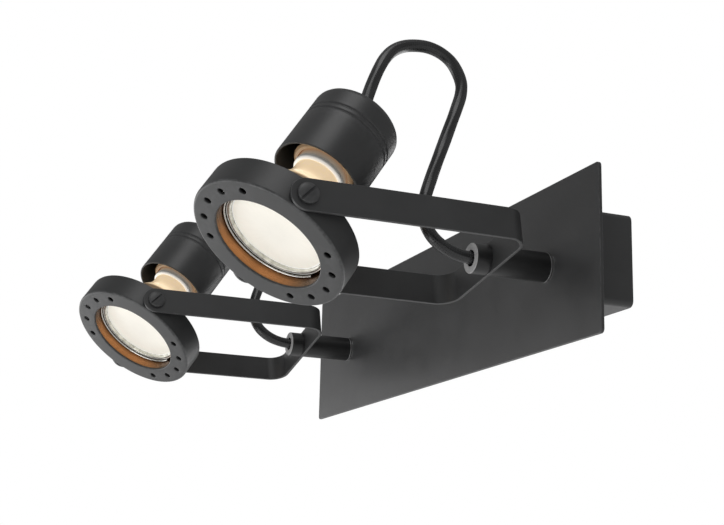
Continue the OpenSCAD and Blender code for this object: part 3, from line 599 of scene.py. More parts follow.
class Finish(Nodes):
    """A material while it is made, with coordinates on the piece's own axes."""

    def __init__(self, name):
        self.material = bpy.data.materials.new(name)
        self.material.use_nodes = True
        super().__init__(self.material.node_tree)
        self.shader = self.tree.nodes["Principled BSDF"]
        self.coords = self.node("ShaderNodeTexCoord").outputs["Object"]
        self.x, self.y, self.z = self.parts(self.coords)

    def feed(self, **inputs):
        """Feeds the shader: base_color stands for its input Base Color, and so on."""
        for key, value in inputs.items():
            self.put(self.shader.inputs[key.replace("_", " ").title()], value)

    def stored(self, name):
        """A value stored on the mesh's points."""
        return self.node("ShaderNodeAttribute", attribute_name=name).outputs["Fac"]

    def from_axis(self):
        """The distance from the piece's z axis."""
        squares = [self.maths("MULTIPLY", way, way) for way in (self.x, self.y)]
        return self.maths("SQRT", self.maths("ADD", *squares))

    def noise(self, size_mm, detail=2.0, rough=0.5, stretch=None):
        """Noise whose blotches are about size_mm across, or shorter along an axis by its stretch."""
        coords = self.coords
        if stretch:
            coords = self.node("ShaderNodeMapping", {"Vector": coords, "Scale": stretch}).outputs["Vector"]
        look = {"Scale": 1 / (size_mm * MM), "Detail": detail, "Roughness": rough}
        return self.node("ShaderNodeTexNoise", {"Vector": coords, **look}).outputs["Fac"]

    def vary(self, noise, low, high):
        """A noise's usual swing, as a swing between two values."""
        return self.spread(noise, NOISE_LOW, NOISE_HIGH, low, high)

    def fade(self, length, start_mm, end_mm, low, high):
        """A value that goes from low to high between two places."""
        return self.spread(length, start_mm * MM, end_mm * MM, low, high)

    def shades(self, factor, colour, first, second):
        """A mix of two shades of a colour."""
        return self.blend(factor, shade(colour, first), shade(colour, second))

    def bump(self, height, strength, depth_mm):
        made = self.node("ShaderNodeBump", {
            "Height": height, "Strength": strength, "Distance": depth_mm * MM})
        self.feed(normal=made.outputs["Normal"])


def powder_coat(name, colour, roughness=0.4):
    """Fine-textured powder coat: cloudy sheen, small grain, paler rounded edges from thinner paint and a painted
    highlight.
    """
    finish = Finish(name)
    clouds, grain = finish.noise(28, 3), finish.noise(0.45, 2.5, 0.6)
    base = finish.shades(finish.vary(clouds, 0, 1), colour, 0.9, 1.12)
    speck = finish.blend(finish.spread(grain, 0.62, 0.75, 0, 0.35), base, shade(colour, 1.7))
    patches = finish.spread(finish.noise(2.2, 3), 0.42, 0.62, 0.25, 1)
    # Paler edges in random patches: edge wear with a painted highlight
    wear_and_highlight = finish.maths("MULTIPLY", finish.stored("wear"), patches)
    paint = finish.blend(finish.maths("MULTIPLY", wear_and_highlight, EDGE_WEAR_AND_HIGHLIGHT_SHARE), speck, EDGE_WEAR_AND_HIGHLIGHT_COLOUR)
    finish.feed(base_color=paint, roughness=finish.vary(clouds, roughness - 0.04, roughness + 0.05))
    finish.bump(grain, 0.35, 0.03)
    return finish


def coat_with_lit_band(name, colour, start_mm, end_mm, band_colour, metal, roughness=0.4):
    """Powder coat with a painted band of light between two heights on the piece's axis, in its own colour and
    metalness.
    """
    finish = powder_coat(name, colour, roughness)
    # The band stands for a highlight on the piece: painted light
    above = finish.maths("GREATER_THAN", finish.z, start_mm * MM)
    below = finish.maths("LESS_THAN", finish.z, end_mm * MM)
    shown = finish.maths("MULTIPLY", above, below)
    painted = finish.shader.inputs["Base Color"].links[0].from_socket
    band_shades = finish.shades(finish.noise(0.7), band_colour, 0.7, 1.25)
    finish.feed(base_color=finish.blend(shown, painted, band_shades),
                metallic=finish.maths("MULTIPLY", shown, metal))
    return finish


def braided_sheath(name, colour):
    """Black braid over twisted cores: painted shade in the hollows, painted highlights and a soft thread sheen on
    the crowns.
    """
    finish = Finish(name)
    thread = finish.noise(0.25)
    # Painted shading of the braid: dark in the hollows, light on the crowns
    crown = finish.maths("MULTIPLY", finish.stored("strand"), finish.vary(thread, 0.5, 1))
    finish.feed(base_color=finish.shades(crown, colour, 0.6, 2.6),
                roughness=finish.vary(finish.noise(6), 0.22, 0.32))
    finish.bump(thread, 0.3, 0.04)
    return finish


def black_rubber(name, colour):
    """Moulded rubber with a fine matt skin."""
    finish = Finish(name)
    skin = finish.noise(0.6, 3)
    finish.feed(base_color=finish.shades(skin, colour, 0.8, 1.5),
                roughness=finish.vary(finish.noise(5), 0.55, 0.68))
    finish.bump(skin, 0.2, 0.04)
    return finish


def satin_copper(name, colour):
    """Copper coloured coat with fine turned rings and tarnish; painted shade darkens its mouth and deep inside,
    and a painted dark reflection all but one side.
    """
    finish = Finish(name)
    turned = finish.noise(9, 3, stretch=(1, 1, 14))
    # Painted dark reflection: olive dark except on the side towards (-0.99, 0.14)
    faced = finish.maths("DIVIDE", finish.along(finish.x, finish.y, (-0.99, 0.14)), finish.from_axis())
    painted_dark_reflection = finish.spread(faced, 0.35, 0.95, 0.85, 0)
    # Painted shade deep inside and at the mouth
    deep, mouth = finish.fade(finish.z, 3.6, 0.6, 0, 1), finish.fade(finish.z, 5.5, 8.2, 0, 0.7)
    dark = finish.maths("MAXIMUM", deep, mouth)
    tarnish = finish.spread(finish.noise(9, 3), 0.35, 0.7, 0, 0.6)
    coat = finish.blend(painted_dark_reflection, finish.blend(tarnish, colour, shade(colour, 0.6)), (0.13, 0.085, 0.05))
    finish.feed(base_color=finish.blend(dark, coat, shade(colour, 0.24)),
                roughness=finish.vary(turned, 0.24, 0.36), metallic=0.9)
    finish.bump(turned, 0.12, 0.03)
    return finish


def frosted_glass(name, colour):
    """Frosted front glass: cream white, faint streaks from the middle, a darker border, a painted glow that grows
    outwards and a painted bright highlight line at its edge.
    """
    finish = Finish(name)
    frost, radius = finish.noise(0.5), finish.from_axis()
    angle = finish.maths("ARCTAN2", finish.y, finish.x)
    polar = finish.node("ShaderNodeCombineXYZ", {
        "X": finish.maths("MULTIPLY", angle, 9.0), "Y": finish.maths("MULTIPLY", radius, 60.0)})
    streaks = finish.node("ShaderNodeTexNoise", {
        "Vector": polar.outputs["Vector"], "Scale": 1.6, "Detail": 3.0})
    faint = finish.spread(streaks.outputs["Fac"], 0.35, 0.7, 0, 0.25)
    streaked = finish.blend(faint, colour, shade(colour, 0.88))
    frosted = finish.blend(finish.fade(radius, 20.5, 22, 0, 0.1), streaked, shade(colour, 0.8))
    # Painted highlight: a bright line at the lens's edge
    edge = finish.fade(radius, 22.3, 22.5, 0, 1)
    # The emission is a painted glow, stronger towards the edge
    finish.feed(base_color=finish.blend(edge, frosted, (0.98, 0.98, 0.96)), emission_color=frosted,
                emission_strength=finish.fade(radius, 4, 20, 0.02, 0.16),
                roughness=finish.vary(frost, 0.3, 0.42), coat_weight=0.2, coat_roughness=0.15)
    finish.bump(frost, 0.15, 0.05)
    return finish


def clear_rim_glass(name):
    """Clear pressed glass of the lamp's rim, silvered behind, with painted dark and bright reflection lines round
    it.
    """
    finish = Finish(name)
    ripple, radius = finish.noise(4), finish.from_axis()

    def line(middle_mm, half_mm):
        off = finish.maths("ABSOLUTE", finish.maths("SUBTRACT", radius, middle_mm * MM))
        return finish.maths("LESS_THAN", off, half_mm * MM)

    # Painted reflections: dark lines at 23.9 mm and past 24.72 mm, a bright line at 24.3 mm
    silver = finish.blend(finish.spread(ripple, 0.35, 0.65, 0, 1), (0.5, 0.5, 0.44), (0.9, 0.9, 0.82))
    outer_line = finish.maths("GREATER_THAN", radius, 24.72 * MM)
    dark = finish.blend(finish.maths("MAXIMUM", line(23.9, 0.16), outer_line), silver, (0.03, 0.03, 0.03))
    finish.feed(base_color=finish.blend(line(24.3, 0.2), dark, (0.97, 0.97, 0.95)),
                roughness=finish.vary(ripple, 0.06, 0.14), metallic=0.6, coat_weight=1.0, coat_roughness=0.03)
    return finish


def coated_bowl(name, colour):
    """Coated glass bowl: cream gold, darker brown towards the rim, and a painted warm glow that fades towards the
    rim.
    """
    finish = Finish(name)
    cloud, towards_rim = finish.noise(6, 3), finish.fade(finish.z, -22.5, -20.5, 0, 1)
    gold = finish.shades(cloud, colour, 0.85, 1.15)
    # Painted glow: warm over the bowl, nearly dark at the rim
    glow = finish.blend(towards_rim, (1.0, 0.72, 0.48), (0.1, 0.04, 0.02))
    finish.feed(base_color=finish.blend(towards_rim, gold, shade(colour, 0.22)), emission_color=glow,
                emission_strength=0.5, roughness=finish.vary(cloud, 0.2, 0.32),
                coat_weight=0.6, coat_roughness=0.05)
    finish.bump(cloud, 0.1, 0.2)
    return finish


def glazed_ceramic(name, colour, roughness=0.3):
    """Glazed ceramic with faint specks and a soft uneven glaze."""
    finish = Finish(name)
    specks, cloud = finish.spread(finish.noise(0.5), 0.66, 0.74, 0, 0.4), finish.noise(7)
    glaze = finish.shades(cloud, colour, 0.92, 1.06)
    finish.feed(base_color=finish.blend(specks, glaze, shade(colour, 0.55)),
                roughness=finish.vary(cloud, roughness - 0.05, roughness + 0.08))
    finish.bump(cloud, 0.08, 0.3)
    return finish


def lit_neck(name, colour):
    """White glaze of the lamp's neck, with a painted glow at its front."""
    finish = glazed_ceramic(name, colour, 0.22)
    finish.feed(emission_color=(1, 0.97, 0.92), emission_strength=finish.fade(finish.z, -37, -35.8, 0, 0.4))
    return finish


def shaded_glaze(name, near, deep):
    """The lamp base's glaze: grey next to the white rim, golden brown further back, partly its colour and partly
    painted warm shade, with a faint painted glow.
    """
    finish = Finish(name)
    cloud = finish.noise(7)
    browned = finish.shades(cloud, deep, 0.85, 1.1)
    glaze = finish.blend(finish.fade(finish.z, -37.6, -41, 0, 1), near, browned)
    # A faint painted glow in the glaze's own colours
    finish.feed(base_color=glaze, emission_color=glaze, emission_strength=0.12,
                roughness=finish.vary(cloud, 0.25, 0.38))
    finish.bump(cloud, 0.08, 0.3)
    return finish


def plated_metal(name, colour, roughness, grain=(1, 1, 1)):
    """Plated metal with drawn streaks and small stains."""
    finish = Finish(name)
    streaks, stains = finish.noise(1.2, 4, 0.6, grain), finish.noise(11, 3)
    base = finish.shades(finish.spread(stains, 0.35, 0.7, 0, 1), colour, 1.05, 0.8)
    finish.feed(base_color=base, metallic=1.0,
                roughness=finish.vary(streaks, roughness - 0.08, roughness + 0.1))
    finish.bump(streaks, 0.15, 0.02)
    return finish


def moulded_plastic(name, colour, roughness=0.4):
    """Moulded plastic with a light skin texture."""
    finish = Finish(name)
    skin, cloud = finish.noise(0.5), finish.noise(8)
    finish.feed(base_color=finish.shades(cloud, colour, 0.94, 1.05),
                roughness=finish.vary(skin, roughness - 0.05, roughness + 0.07))
    finish.bump(skin, 0.12, 0.03)
    return finish


def matt_floor(name):
    """Pale matt floor with wide faint clouds."""
    finish = Finish(name)
    clouded = finish.blend(finish.noise(400), (0.9, 0.9, 0.9), (0.93, 0.93, 0.93))
    finish.feed(base_color=clouded, roughness=0.9)
    return finish


def make_finish(slot):
    """The material of one of the record's slots, of a piece's own look, or of the floor."""
    colours = bpy.context.scene.bar_colours
    black, ceramic = tuple(colours.black), tuple(colours.ceramic)
    # Colours of the painted highlight band on the stems' feet and of the painted light on the collars' faces
    foot_highlight_metal, face_light_grey = (0.8, 0.8, 0.8), (0.3, 0.3, 0.3)
    makers = {
        "black_paint": (powder_coat, "black_powder_coat", black),
        "ring_paint": (powder_coat, "ring_powder_coat", tuple(colours.ring)),
        # Stems: darker paint as painted shade, with a bright metal band at the foot as a painted highlight
        "stem_shaded_paint": (coat_with_lit_band, "stem_powder_coat", shade(black, 0.3), 0, 0.8, foot_highlight_metal, 1.0, 0.36),
        # Collars: darker paint as painted shade, with a grey band on the front face as painted light
        "collar_shaded_and_lit_paint": (coat_with_lit_band, "collar_powder_coat", shade(black, 0.35), 38.55, 40, face_light_grey, 0.0),
        "zinc_steel": (plated_metal, "zinc_plated_steel", tuple(colours.steel), 0.36, (0.15, 1, 1)),
        "brass": (plated_metal, "plain_brass", (0.6, 0.41, 0.16), 0.3),
        "plated_pin": (plated_metal, "nickel_plating", (0.62, 0.61, 0.58), 0.22),
        "block_plastic": (moulded_plastic, "block_plastic", (0.74, 0.72, 0.66)),
        "wire_insulation": (moulded_plastic, "wire_insulation", (0.2, 0.09, 0.04), 0.45),
        "grommet_rubber": (black_rubber, "grommet_rubber", (0.02, 0.02, 0.02)),
        "cable_sheath": (braided_sheath, "cable_braid", tuple(colours.cable)),
        "bushing_rubber": (black_rubber, "bushing_rubber", (0.017, 0.017, 0.018)),
        "copper_liner": (satin_copper, "copper_coat", tuple(colours.copper)),
        "frosted_lens": (frosted_glass, "frosted_glass", tuple(colours.lens)),
        "rim_glass": (clear_rim_glass, "rim_glass"),
        "reflector_glass": (coated_bowl, "coated_bowl", tuple(colours.bowl)),
        "lamp_ceramic": (glazed_ceramic, "lamp_ceramic", ceramic),
        "white_neck": (lit_neck, "white_neck", (0.95, 0.94, 0.91)),
        "base_glaze": (shaded_glaze, "base_glaze", (0.8, 0.77, 0.7), ceramic),
        "floor": (matt_floor, "pale_floor"),
    }
    maker, *values = makers[slot]
    return maker(*values).material


finishes_made = {}


def finish_of(slot):
    if slot not in finishes_made:
        finishes_made[slot] = make_finish(slot)
    return finishes_made[slot]


# Sizes that pieces share, in millimetres

SPOT_X = JOINTS["swivel_right"]["pos_m"][0] / MM
SPOTS = [(-SPOT_X, 0), (SPOT_X, 0)]
STEM_HOLE = 6.7
STUDS = [(x, y) for x in (-138, 138) for y in (-11, 11)]
SIDE_SCREW_X = 75
ENTRY_X = 45
TUBE_BORE = 5.05
SPIGOT_LENGTH = 8.3
COLLAR_BASE = 31
TILT_HOLE = 2.05
RING_SHEET = 1.2
SEAT_DEPTH = 3
NECK_DEPTH = 33
HOLDER_X = 8.5
HOLDER_HOLE = 1.55

# Steps of the bracket's folds and of the yoke's bends
FOLD_STEPS = 5
BEND_STEPS = 14


def box_size(node):
    """Width, height and depth of a CAD piece."""
    low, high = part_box(node)
    return (high.x - low.x) / MM, (high.z - low.z) / MM, (high.y - low.y) / MM


# Makers of the pieces

def make_camera(settings):
    """The camera that took the photograph, from its angles and place."""
    az, el, roll = settings.azimuth, settings.elevation, settings.roll
    ahead = Vector((-math.sin(az) * math.cos(el), math.cos(az) * math.cos(el), -math.sin(el)))
    right = Vector((math.cos(az), math.sin(az), 0))
    up = right.cross(ahead)
    turned = right * math.cos(roll) + up * math.sin(roll)
    upright = up * math.cos(roll) - right * math.sin(roll)
    data = bpy.data.cameras.new("camera")
    data.lens, data.sensor_width = settings.focal_length, 36
    data.clip_start, data.clip_end = 0.01, 20
    camera = bpy.data.objects.new("camera", data)
    bpy.context.scene.collection.objects.link(camera)
    matrix = Matrix((turned, upright, -ahead)).transposed().to_4x4()
    matrix.translation = settings.place
    camera.matrix_world = matrix
    bpy.context.scene.camera = camera


# Middle line of a spot cable in the yoke's middle plane: height, distance from the plate, in metres
CABLE_ROUTE = [
    (0, 0.020), (0, 0.036), (0.001, 0.045), (0.0035, 0.0515), (0.008, 0.057), (0.0135, 0.060),
    (0.0195, 0.061), (0.026, 0.060), (0.038, 0.0557), (0.0615, 0.046), (0.078, 0.0392), (0.086, 0.0363),
    (0.092, 0.0355), (0.098, 0.0369), (0.104, 0.0403), (0.1079, 0.0457), (0.1096, 0.052), (0.1092, 0.0588),
    (0.1074, 0.0652), (0.104, 0.0706), (0.099, 0.075), (0.0925, 0.0786), (0.0865, 0.0813), (0.081, 0.0835),
    (0.0755, 0.0855), (0.0705, 0.0869), (0.0663, 0.0882), (0.060, 0.092)]
# How far behind the plate's front the cable's tail in the stem starts, in metres
CABLE_IN = 0.0164
BRAID_SAMPLES = 5


def make_cable(side, sizes):
    """One cable loop as a braided tube over twisted cores, and its plain tail in the stem."""
    placed = yoke_frame(side)
    radius, strands, ridges = sizes.radius / MM, sizes.strands, sizes.ridges
    relief, hollow, lay = sizes.relief / MM, sizes.ridge_depth / MM, sizes.lay / MM
    sides, step = strands * BRAID_SAMPLES, math.tau * radius / strands / BRAID_SAMPLES
    line, length = evenly_spaced(smooth_line([Vector((0, u, d)) / MM for u, d in CABLE_ROUTE], 12), step)
    count = len(line) - 1
    made = PieceMesh()
    strand = made.bm.verts.layers.float.new("strand")
    across, rings = Vector((1, 0, 0)), []
    for i, point in enumerate(line):
        ahead = (line[min(i + 1, count)] - line[max(i - 1, 0)]).normalized()
        side_way = ahead.cross(across)
        twist = math.tau * length * i / count / lay
        wound = math.pi * i / BRAID_SAMPLES
        ring = []
        for k in range(sides):
            turn = math.tau * k / sides
            crown = 0.5 + 0.5 * math.sin(turn * strands / 2 + wound) * math.sin(turn * strands / 2 - wound)
            ridge = 0.5 + 0.5 * math.cos(ridges * (turn + twist))
            reach = radius - relief * (1 - crown) - hollow * (1 - ridge)
            vert = made.bm.verts.new(point + reach * (math.cos(turn) * side_way + math.sin(turn) * across))
            # Stores the braid's painted shading: darker in the hollows and grooves, lighter on the crowns
            vert[strand] = crown * (0.5 + 0.5 * ridge)
            ring.append(vert)
        rings.append(ring)
    made.walls(rings)
    made.close([rings])
    cable = made.piece(f"cable_loop_{side}", placed, slot="cable_sheath", angle=80, weighted=False)
    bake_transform(cable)
    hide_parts(f"cable_{side}")
    tail, tail_end = PieceMesh(), CABLE_ROUTE[0][1] / MM
    tail.turned([(0, -CABLE_IN / MM), (radius, -CABLE_IN / MM), (radius, tail_end), (0, tail_end)],
                [0, 0.2, 0.05, 0], 32, closed=False)
    tail.piece(f"cable_tail_{side}", placed, f"yoke_{side}", slot="cable_sheath")


def make_front_plate(sizes):
    """The long flat plate with its two stem holes and the studs behind."""
    width, height, _ = box_size("front_plate")
    thickness, stud, stud_end = sizes.plate_thickness / MM, 2, 19
    back = PLATE_FRONT - thickness
    made = PieceMesh()
    made.sheet(round_rectangle(width, height, sizes.plate_corner / MM), thickness, sizes.sheet_edge / MM,
               [circle(STEM_HOLE, 48, spot) for spot in SPOTS], base=back)
    for place in STUDS:
        made.turned([(0, stud_end), (stud, stud_end), (stud, back + 0.1), (0, back + 0.1)],
                    [0, 0.4, 0, 0], 24, closed=False, matrix=Matrix.Translation((*place, 0)))
    made.piece("plate_skin", wall_frame(), "base", "front_plate", "black_paint")


def make_box(sizes):
    """The box behind the plate, with its side screws."""
    width, height, _ = box_size("housing")
    depth, wall = -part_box("housing")[0].y / MM, sizes.box_wall / MM
    outline = round_rectangle(width, height, sizes.box_corner / MM)
    profile, wear_and_highlight = run(
        [(wall + 2, depth - wall), (wall, depth - wall), (wall, 0), (0, 0), (0, depth), (2, depth)],
        [0, 0.5, 0.3, 0.3, 0.8, 0])
    made = PieceMesh()
    shell = [made.ring([(x, y, z) for x, y in offset(outline, inset)], w)
             for (inset, z), w in zip(profile, wear_and_highlight)]
    made.walls(shell)
    holes = [(STEM_HOLE, 32, spot) for spot in SPOTS] + [(2.25, 16, stud) for stud in STUDS]
    made.close([shell] + [made.rings([(radius, depth - wall), (radius, depth)], sides, centre=centre)
                          for radius, sides, centre in holes])
    made.piece("box_shell", wall_frame(), "base", "housing", "black_paint")

    screw = slotted_screw(head_r=2.8, head_h=1.6, dome=0.9, shank_r=1.5, shank_len=5,
                          slot_w=0.7, slot_d=0.8)
    screws = PieceMesh()
    for side in (-1, 1):
        for sign in (1, -1):
            out = Matrix.Rotation(-math.pi / 2 * sign, 4, "X")
            turned = Matrix.Rotation(0.6 * side + 0.35 * sign, 4, "Z")
            screws.add(screw, Matrix.Translation((side * SIDE_SCREW_X, sign * height / 2, 9)) @ out @ turned)
    screws.piece("side_screw_set", wall_frame(), "base", "side_screws", "zinc_steel")


def make_wall_bracket():
    """The wall bracket with its folded ears, and the grommet of the mains entry."""
    thick, edge = 1.5, 0.2
    half_w, half_h = 140, 20.1
    inside, ear_half, ear_length, screw_out = 0.8, 8, 13, 9
    outside = inside + thick
    fold_start = half_h - outside
    middle = inside + thick / 2
    fold = math.pi / 2 * middle
    tip = fold_start + fold + ear_length - outside
    relief, notch = fold_start - 0.8, 1
    top = [(-half_w, half_h)]
    for x in (-SIDE_SCREW_X, SIDE_SCREW_X):
        ear = [(ear_half + notch, half_h), (ear_half + notch, relief), (ear_half, relief), (ear_half, tip)]
        top += [(x - across, y) for across, y in ear] + [(x + across, y) for across, y in reversed(ear)]
    top.append((half_w, half_h))
    outline = [(x, -y) for x, y in top] + top[::-1]
    radii = [1.5] + [0.2, 0, 0.2, 2.5, 2.5, 0.2, 0, 0.2] * 2 + [1.5]
    outline = rounded(outline, radii + radii[::-1])[0]
    ear_hole = fold_start + fold + screw_out - outside
    holes = [stadium(14, 5.2, (x, 0)) for x in (-100, 100)]
    # The mains entry, the earth screw and the terminal block's screw
    holes += [circle(6.55, 40, (ENTRY_X, 0)), circle(2.05, 24, (-28, 0)), circle(1.3, 20, (4.5, 0))]
    holes += [circle(1.55, 20, (x, y)) for x in (-SIDE_SCREW_X, SIDE_SCREW_X) for y in (-ear_hole, ear_hole)]
    made = PieceMesh()
    made.sheet(outline, thick, edge, holes)
    steps = [fold_start + fold * k / FOLD_STEPS for k in range(FOLD_STEPS + 1)]
    made.cut([(0, y, 0) for y in steps] + [(0, -y, 0) for y in steps], (0, 1, 0))

    def folded(co):
        on_ear = min(abs(co.x - SIDE_SCREW_X), abs(co.x + SIDE_SCREW_X)) < ear_half + notch / 2
        if abs(co.y) <= fold_start or not on_ear:
            return co
        past, sign = abs(co.y) - fold_start, math.copysign(1, co.y)
        radius = outside - co.z
        turn = min(past / middle, math.pi / 2)
        y = fold_start + radius * math.sin(turn)
        z = outside - radius * math.cos(turn) + max(0, past - fold)
        return Vector((co.x, sign * y, z))

    made.bend(folded)
    made.piece("bracket_plate", wall_frame(), "base", "wall_bracket", "zinc_steel")

    grommet = PieceMesh()
    grommet.turned([(4.5, 0.1), (6.5, 0.1), (6.5, 1.5), (8.3, 1.5), (8.3, 2.9), (4.5, 2.9)],
                   [0.4, 0.4, 0.1, 0.5, 0.6, 0.6], 64, matrix=Matrix.Translation((ENTRY_X, 0, 0)))
    grommet.piece("entry_grommet", wall_frame(), "base", "mains_grommet", "grommet_rubber")


def make_stem(side, sizes):
    """One hollow stem with its threaded spigot through the plate."""
    radius, length, spigot = sizes.stem_radius / MM, sizes.stem_length / MM, 6.5
    made = PieceMesh()
    made.turned([(TUBE_BORE, -SPIGOT_LENGTH), (spigot, -SPIGOT_LENGTH), (spigot, 0), (radius, 0),
                 (radius, length), (TUBE_BORE, length)], [0.2, 0.5, 0, 0.45, 0.45, 0.2], 96)
    # Darker paint as painted shade, with a painted highlight band at the foot
    made.piece(f"stem_tube_{side}", stem_frame(side), "base", f"stem_{side}", "black_paint", ["stem_shaded_paint"])


def make_collar(side, sizes):
    """One collar in front of the yoke's web, with the cable's mouth."""
    radius, front, mouth = sizes.stem_radius / MM, COLLAR_BASE + sizes.collar_length / MM, 3.7
    lip = front - 2.2
    made = PieceMesh()
    made.turned([(TUBE_BORE, COLLAR_BASE), (radius, COLLAR_BASE), (radius, front), (mouth, front),
                 (mouth, lip), (TUBE_BORE, lip)], [0.1, 0.3, 0.45, 0.35, 0.1, 0.1], 96)
    # Darker paint as painted shade, with painted light on the front face
    made.piece(f"collar_ring_{side}", yoke_frame(side), f"yoke_{side}", f"collar_{side}", "black_paint",
               ["collar_shaded_and_lit_paint"])


def make_yoke(side, sizes):
    """One strip, cut flat with round ends and three holes, then bent into a yoke."""
    width, thick = sizes.width / MM, sizes.thickness / MM
    bend, out = sizes.bend / MM, sizes.half_span / MM
    web, pivot = sizes.web_out / MM, -(Vector(JOINTS[f"tilt_{side}"]["pos_m"]).y / MM) - PLATE_FRONT
    flat_web, middle = out - bend, bend - thick / 2
    arc = math.pi / 2 * middle
    reach = flat_web + arc + pivot - web - bend
    made = PieceMesh()
    holes = [circle(TUBE_BORE, 48)] + [circle(TILT_HOLE, 32, (x, 0)) for x in (-reach, reach)]
    made.sheet(stadium(2 * reach + width, width, steps=24), thick, sizes.edge / MM, holes)
    steps = [flat_web + arc * k / BEND_STEPS for k in range(BEND_STEPS + 1)]
    made.cut([(x, 0, 0) for x in steps] + [(-x, 0, 0) for x in steps], (1, 0, 0))

    def bent(co):
        past = abs(co.x) - flat_web
        if past <= 0:
            return Vector((co.x, co.y, web + co.z))
        turn = min(past / middle, math.pi / 2)
        radius = bend - co.z
        x = flat_web + radius * math.sin(turn)
        z = web + bend - radius * math.cos(turn) + max(0, past - arc)
        return Vector((math.copysign(x, co.x), co.y, z))

    made.bend(bent)
    made.piece(f"yoke_strip_{side}", yoke_frame(side), f"yoke_{side}", f"yoke_{side}", "black_paint")


def make_ring(side, sizes):
    """One vented ring, pressed and rounded at its front edge, with the screws' bosses."""
    outer, opening = sizes.ring_radius / MM, sizes.opening_radius / MM
    front = sizes.ring_front / MM
    rear, face = front - sizes.ring_depth / MM, front - RING_SHEET
    lip = rear + 1
    wall_in, collar_out, collar_in = outer - 1.6, opening + 2.65, opening + 1.25
    lip_in = wall_in - 5.3
    made, walls = PieceMesh(), []
    for corners, radii in (
            ([(wall_in - 1, face), (wall_in, face), (wall_in, lip), (lip_in, lip), (lip_in, rear),
              (outer, rear), (outer, front), (outer - 2, front)], [0, 0.3, 0.3, 0.25, 0.25, 0.5, 1.2, 0]),
            ([(collar_out + 1, face), (collar_out, face), (collar_out, lip), (collar_in, lip),
              (collar_in, face), (opening, face), (opening, front), (opening + 1, front)],
             [0, 0.3, 0.3, 0.3, 0, 0.15, 0.55, 0])):
        profile, wear_and_highlight = run(corners, radii)
        walls.append(made.rings(profile, 192, wear_and_highlight))
    vent_at = (collar_out + wall_in) / 2 - 0.5
    vent_profile = [(1.8, face), (1.7, face + 0.1), (1.7, front - 0.35), (1.82, front - 0.14), (2.05, front)]
    for group in (math.pi / 2, -math.pi / 2):
        for i in range(sizes.vent_count):
            angle = group + (i - (sizes.vent_count - 1) / 2) * sizes.vent_step
            centre = (vent_at * math.cos(angle), vent_at * math.sin(angle))
            # The vents' chamfers get the paler edge: edge wear and a painted highlight
            walls.append(made.rings(vent_profile, 32, [0, 0, 0.4, 1, 0.4], centre))
    made.close(walls)
    boss, boss_start, boss_end = 4.6, collar_out + 0.1, outer + 0.1
    for sign in (-1, 1):
        made.turned([(TILT_HOLE, boss_start), (boss, boss_start), (boss, boss_end), (TILT_HOLE, boss_end)],
                    [0, 0, 0.1, 0.1], 48, matrix=Matrix.Rotation(sign * math.pi / 2, 4, "Y"))
    made.piece(f"ring_shell_{side}", head_frame(side), f"head_{side}", f"ring_{side}", "ring_paint")


def make_liner(side, sizes):
    """The copper coloured liner, with the ledge that the lamp sits on."""
    inner, face = sizes.opening_radius / MM + 0.2, sizes.ring_front / MM - RING_SHEET
    seat, ledge, ledge_in = sizes.lamp_front / MM - SEAT_DEPTH, 0.8, 24.4
    made = PieceMesh()
    made.turned([(inner, face), (inner + 1, face), (inner + 1, seat - ledge), (ledge_in, seat - ledge),
                 (ledge_in, seat), (inner, seat)], [0.25, 0.15, 0.4, 0.2, 0.2, 0.1], 160)
    made.piece(f"liner_sleeve_{side}", head_frame(side), f"head_{side}", f"liner_{side}", "copper_liner")


def make_lamp(side, sizes):
    """One lamp: frosted lens, glass rim and bowl, white neck and ceramic base."""
    placed, body, front = head_frame(side), f"head_{side}", sizes.lamp_front / MM
    seat, lens_edge, lens_r, lens_rise = front - SEAT_DEPTH, front - 1.8, 22.9, 1.1
    lens_back = lens_edge - 0.8
    lens = PieceMesh()
    profile = [(0, lens_back), (lens_r, lens_back), (lens_r, lens_edge)]
    dome_r = (lens_r ** 2 + lens_rise ** 2) / (2 * lens_rise)
    for k in range(1, 25):
        angle = math.asin(lens_r / dome_r) * (1 - k / 24)
        profile.append((dome_r * math.sin(angle), lens_edge + lens_rise - dome_r + dome_r * math.cos(angle)))
    lens.lathe(profile, 128, closed=False)
    lens.piece(f"lens_{side}", placed, body, f"lamp_lens_{side}", "frosted_lens", angle=50)

    bowl = [Vector((radius, seat - depth)) for radius, depth in (
        (24.2, 0), (23.4, 5.4), (21.4, 11.4), (18.8, 16.4), (15.6, 20.9), (12.9, 24.4), (11.5, 27.4),
        (11.1, 29.4), (11.1, NECK_DEPTH))]
    outside = [tuple(p) for p in smooth_line(bowl, 5)]
    inside = [(x - 1.2, z) for x, z in reversed(outside)]
    rim, _ = rounded([(23, lens_back), (23, front), (25, front), (25, seat), (24.2, seat)],
                     [0, 0.3, 0.45, 0.3, 0], closed=False)
    glass = PieceMesh()
    profile = rim[:-1] + outside + inside + [(22.2, lens_back)]
    slots = [0 if k < len(rim) - 1 else 1 for k in range(len(profile))]
    glass.lathe(profile, 128, slots=slots)
    glass.piece(f"lamp_glass_{side}", placed, body, f"lamp_reflector_{side}", "reflector_glass",
                ["rim_glass", "reflector_glass"])

    base = PieceMesh()
    neck, foot = seat - NECK_DEPTH, front - 46.8
    profile, wear_and_highlight = rounded([(0, neck), (12.4, neck), (12.4, neck - 2.2), (12.1, neck - 2.8),
                             (12.1, foot), (0, foot)], [0, 1.2, 0.1, 0.2, 1, 0], closed=False)
    slots = [0 if z > neck - 1.5 else 1 for _, z in profile]
    base.lathe(profile, 96, wear_and_highlight, slots, closed=False)
    base.piece(f"lamp_foot_{side}", placed, body, f"lamp_base_{side}", "lamp_ceramic",
               ["white_neck", "base_glaze"])


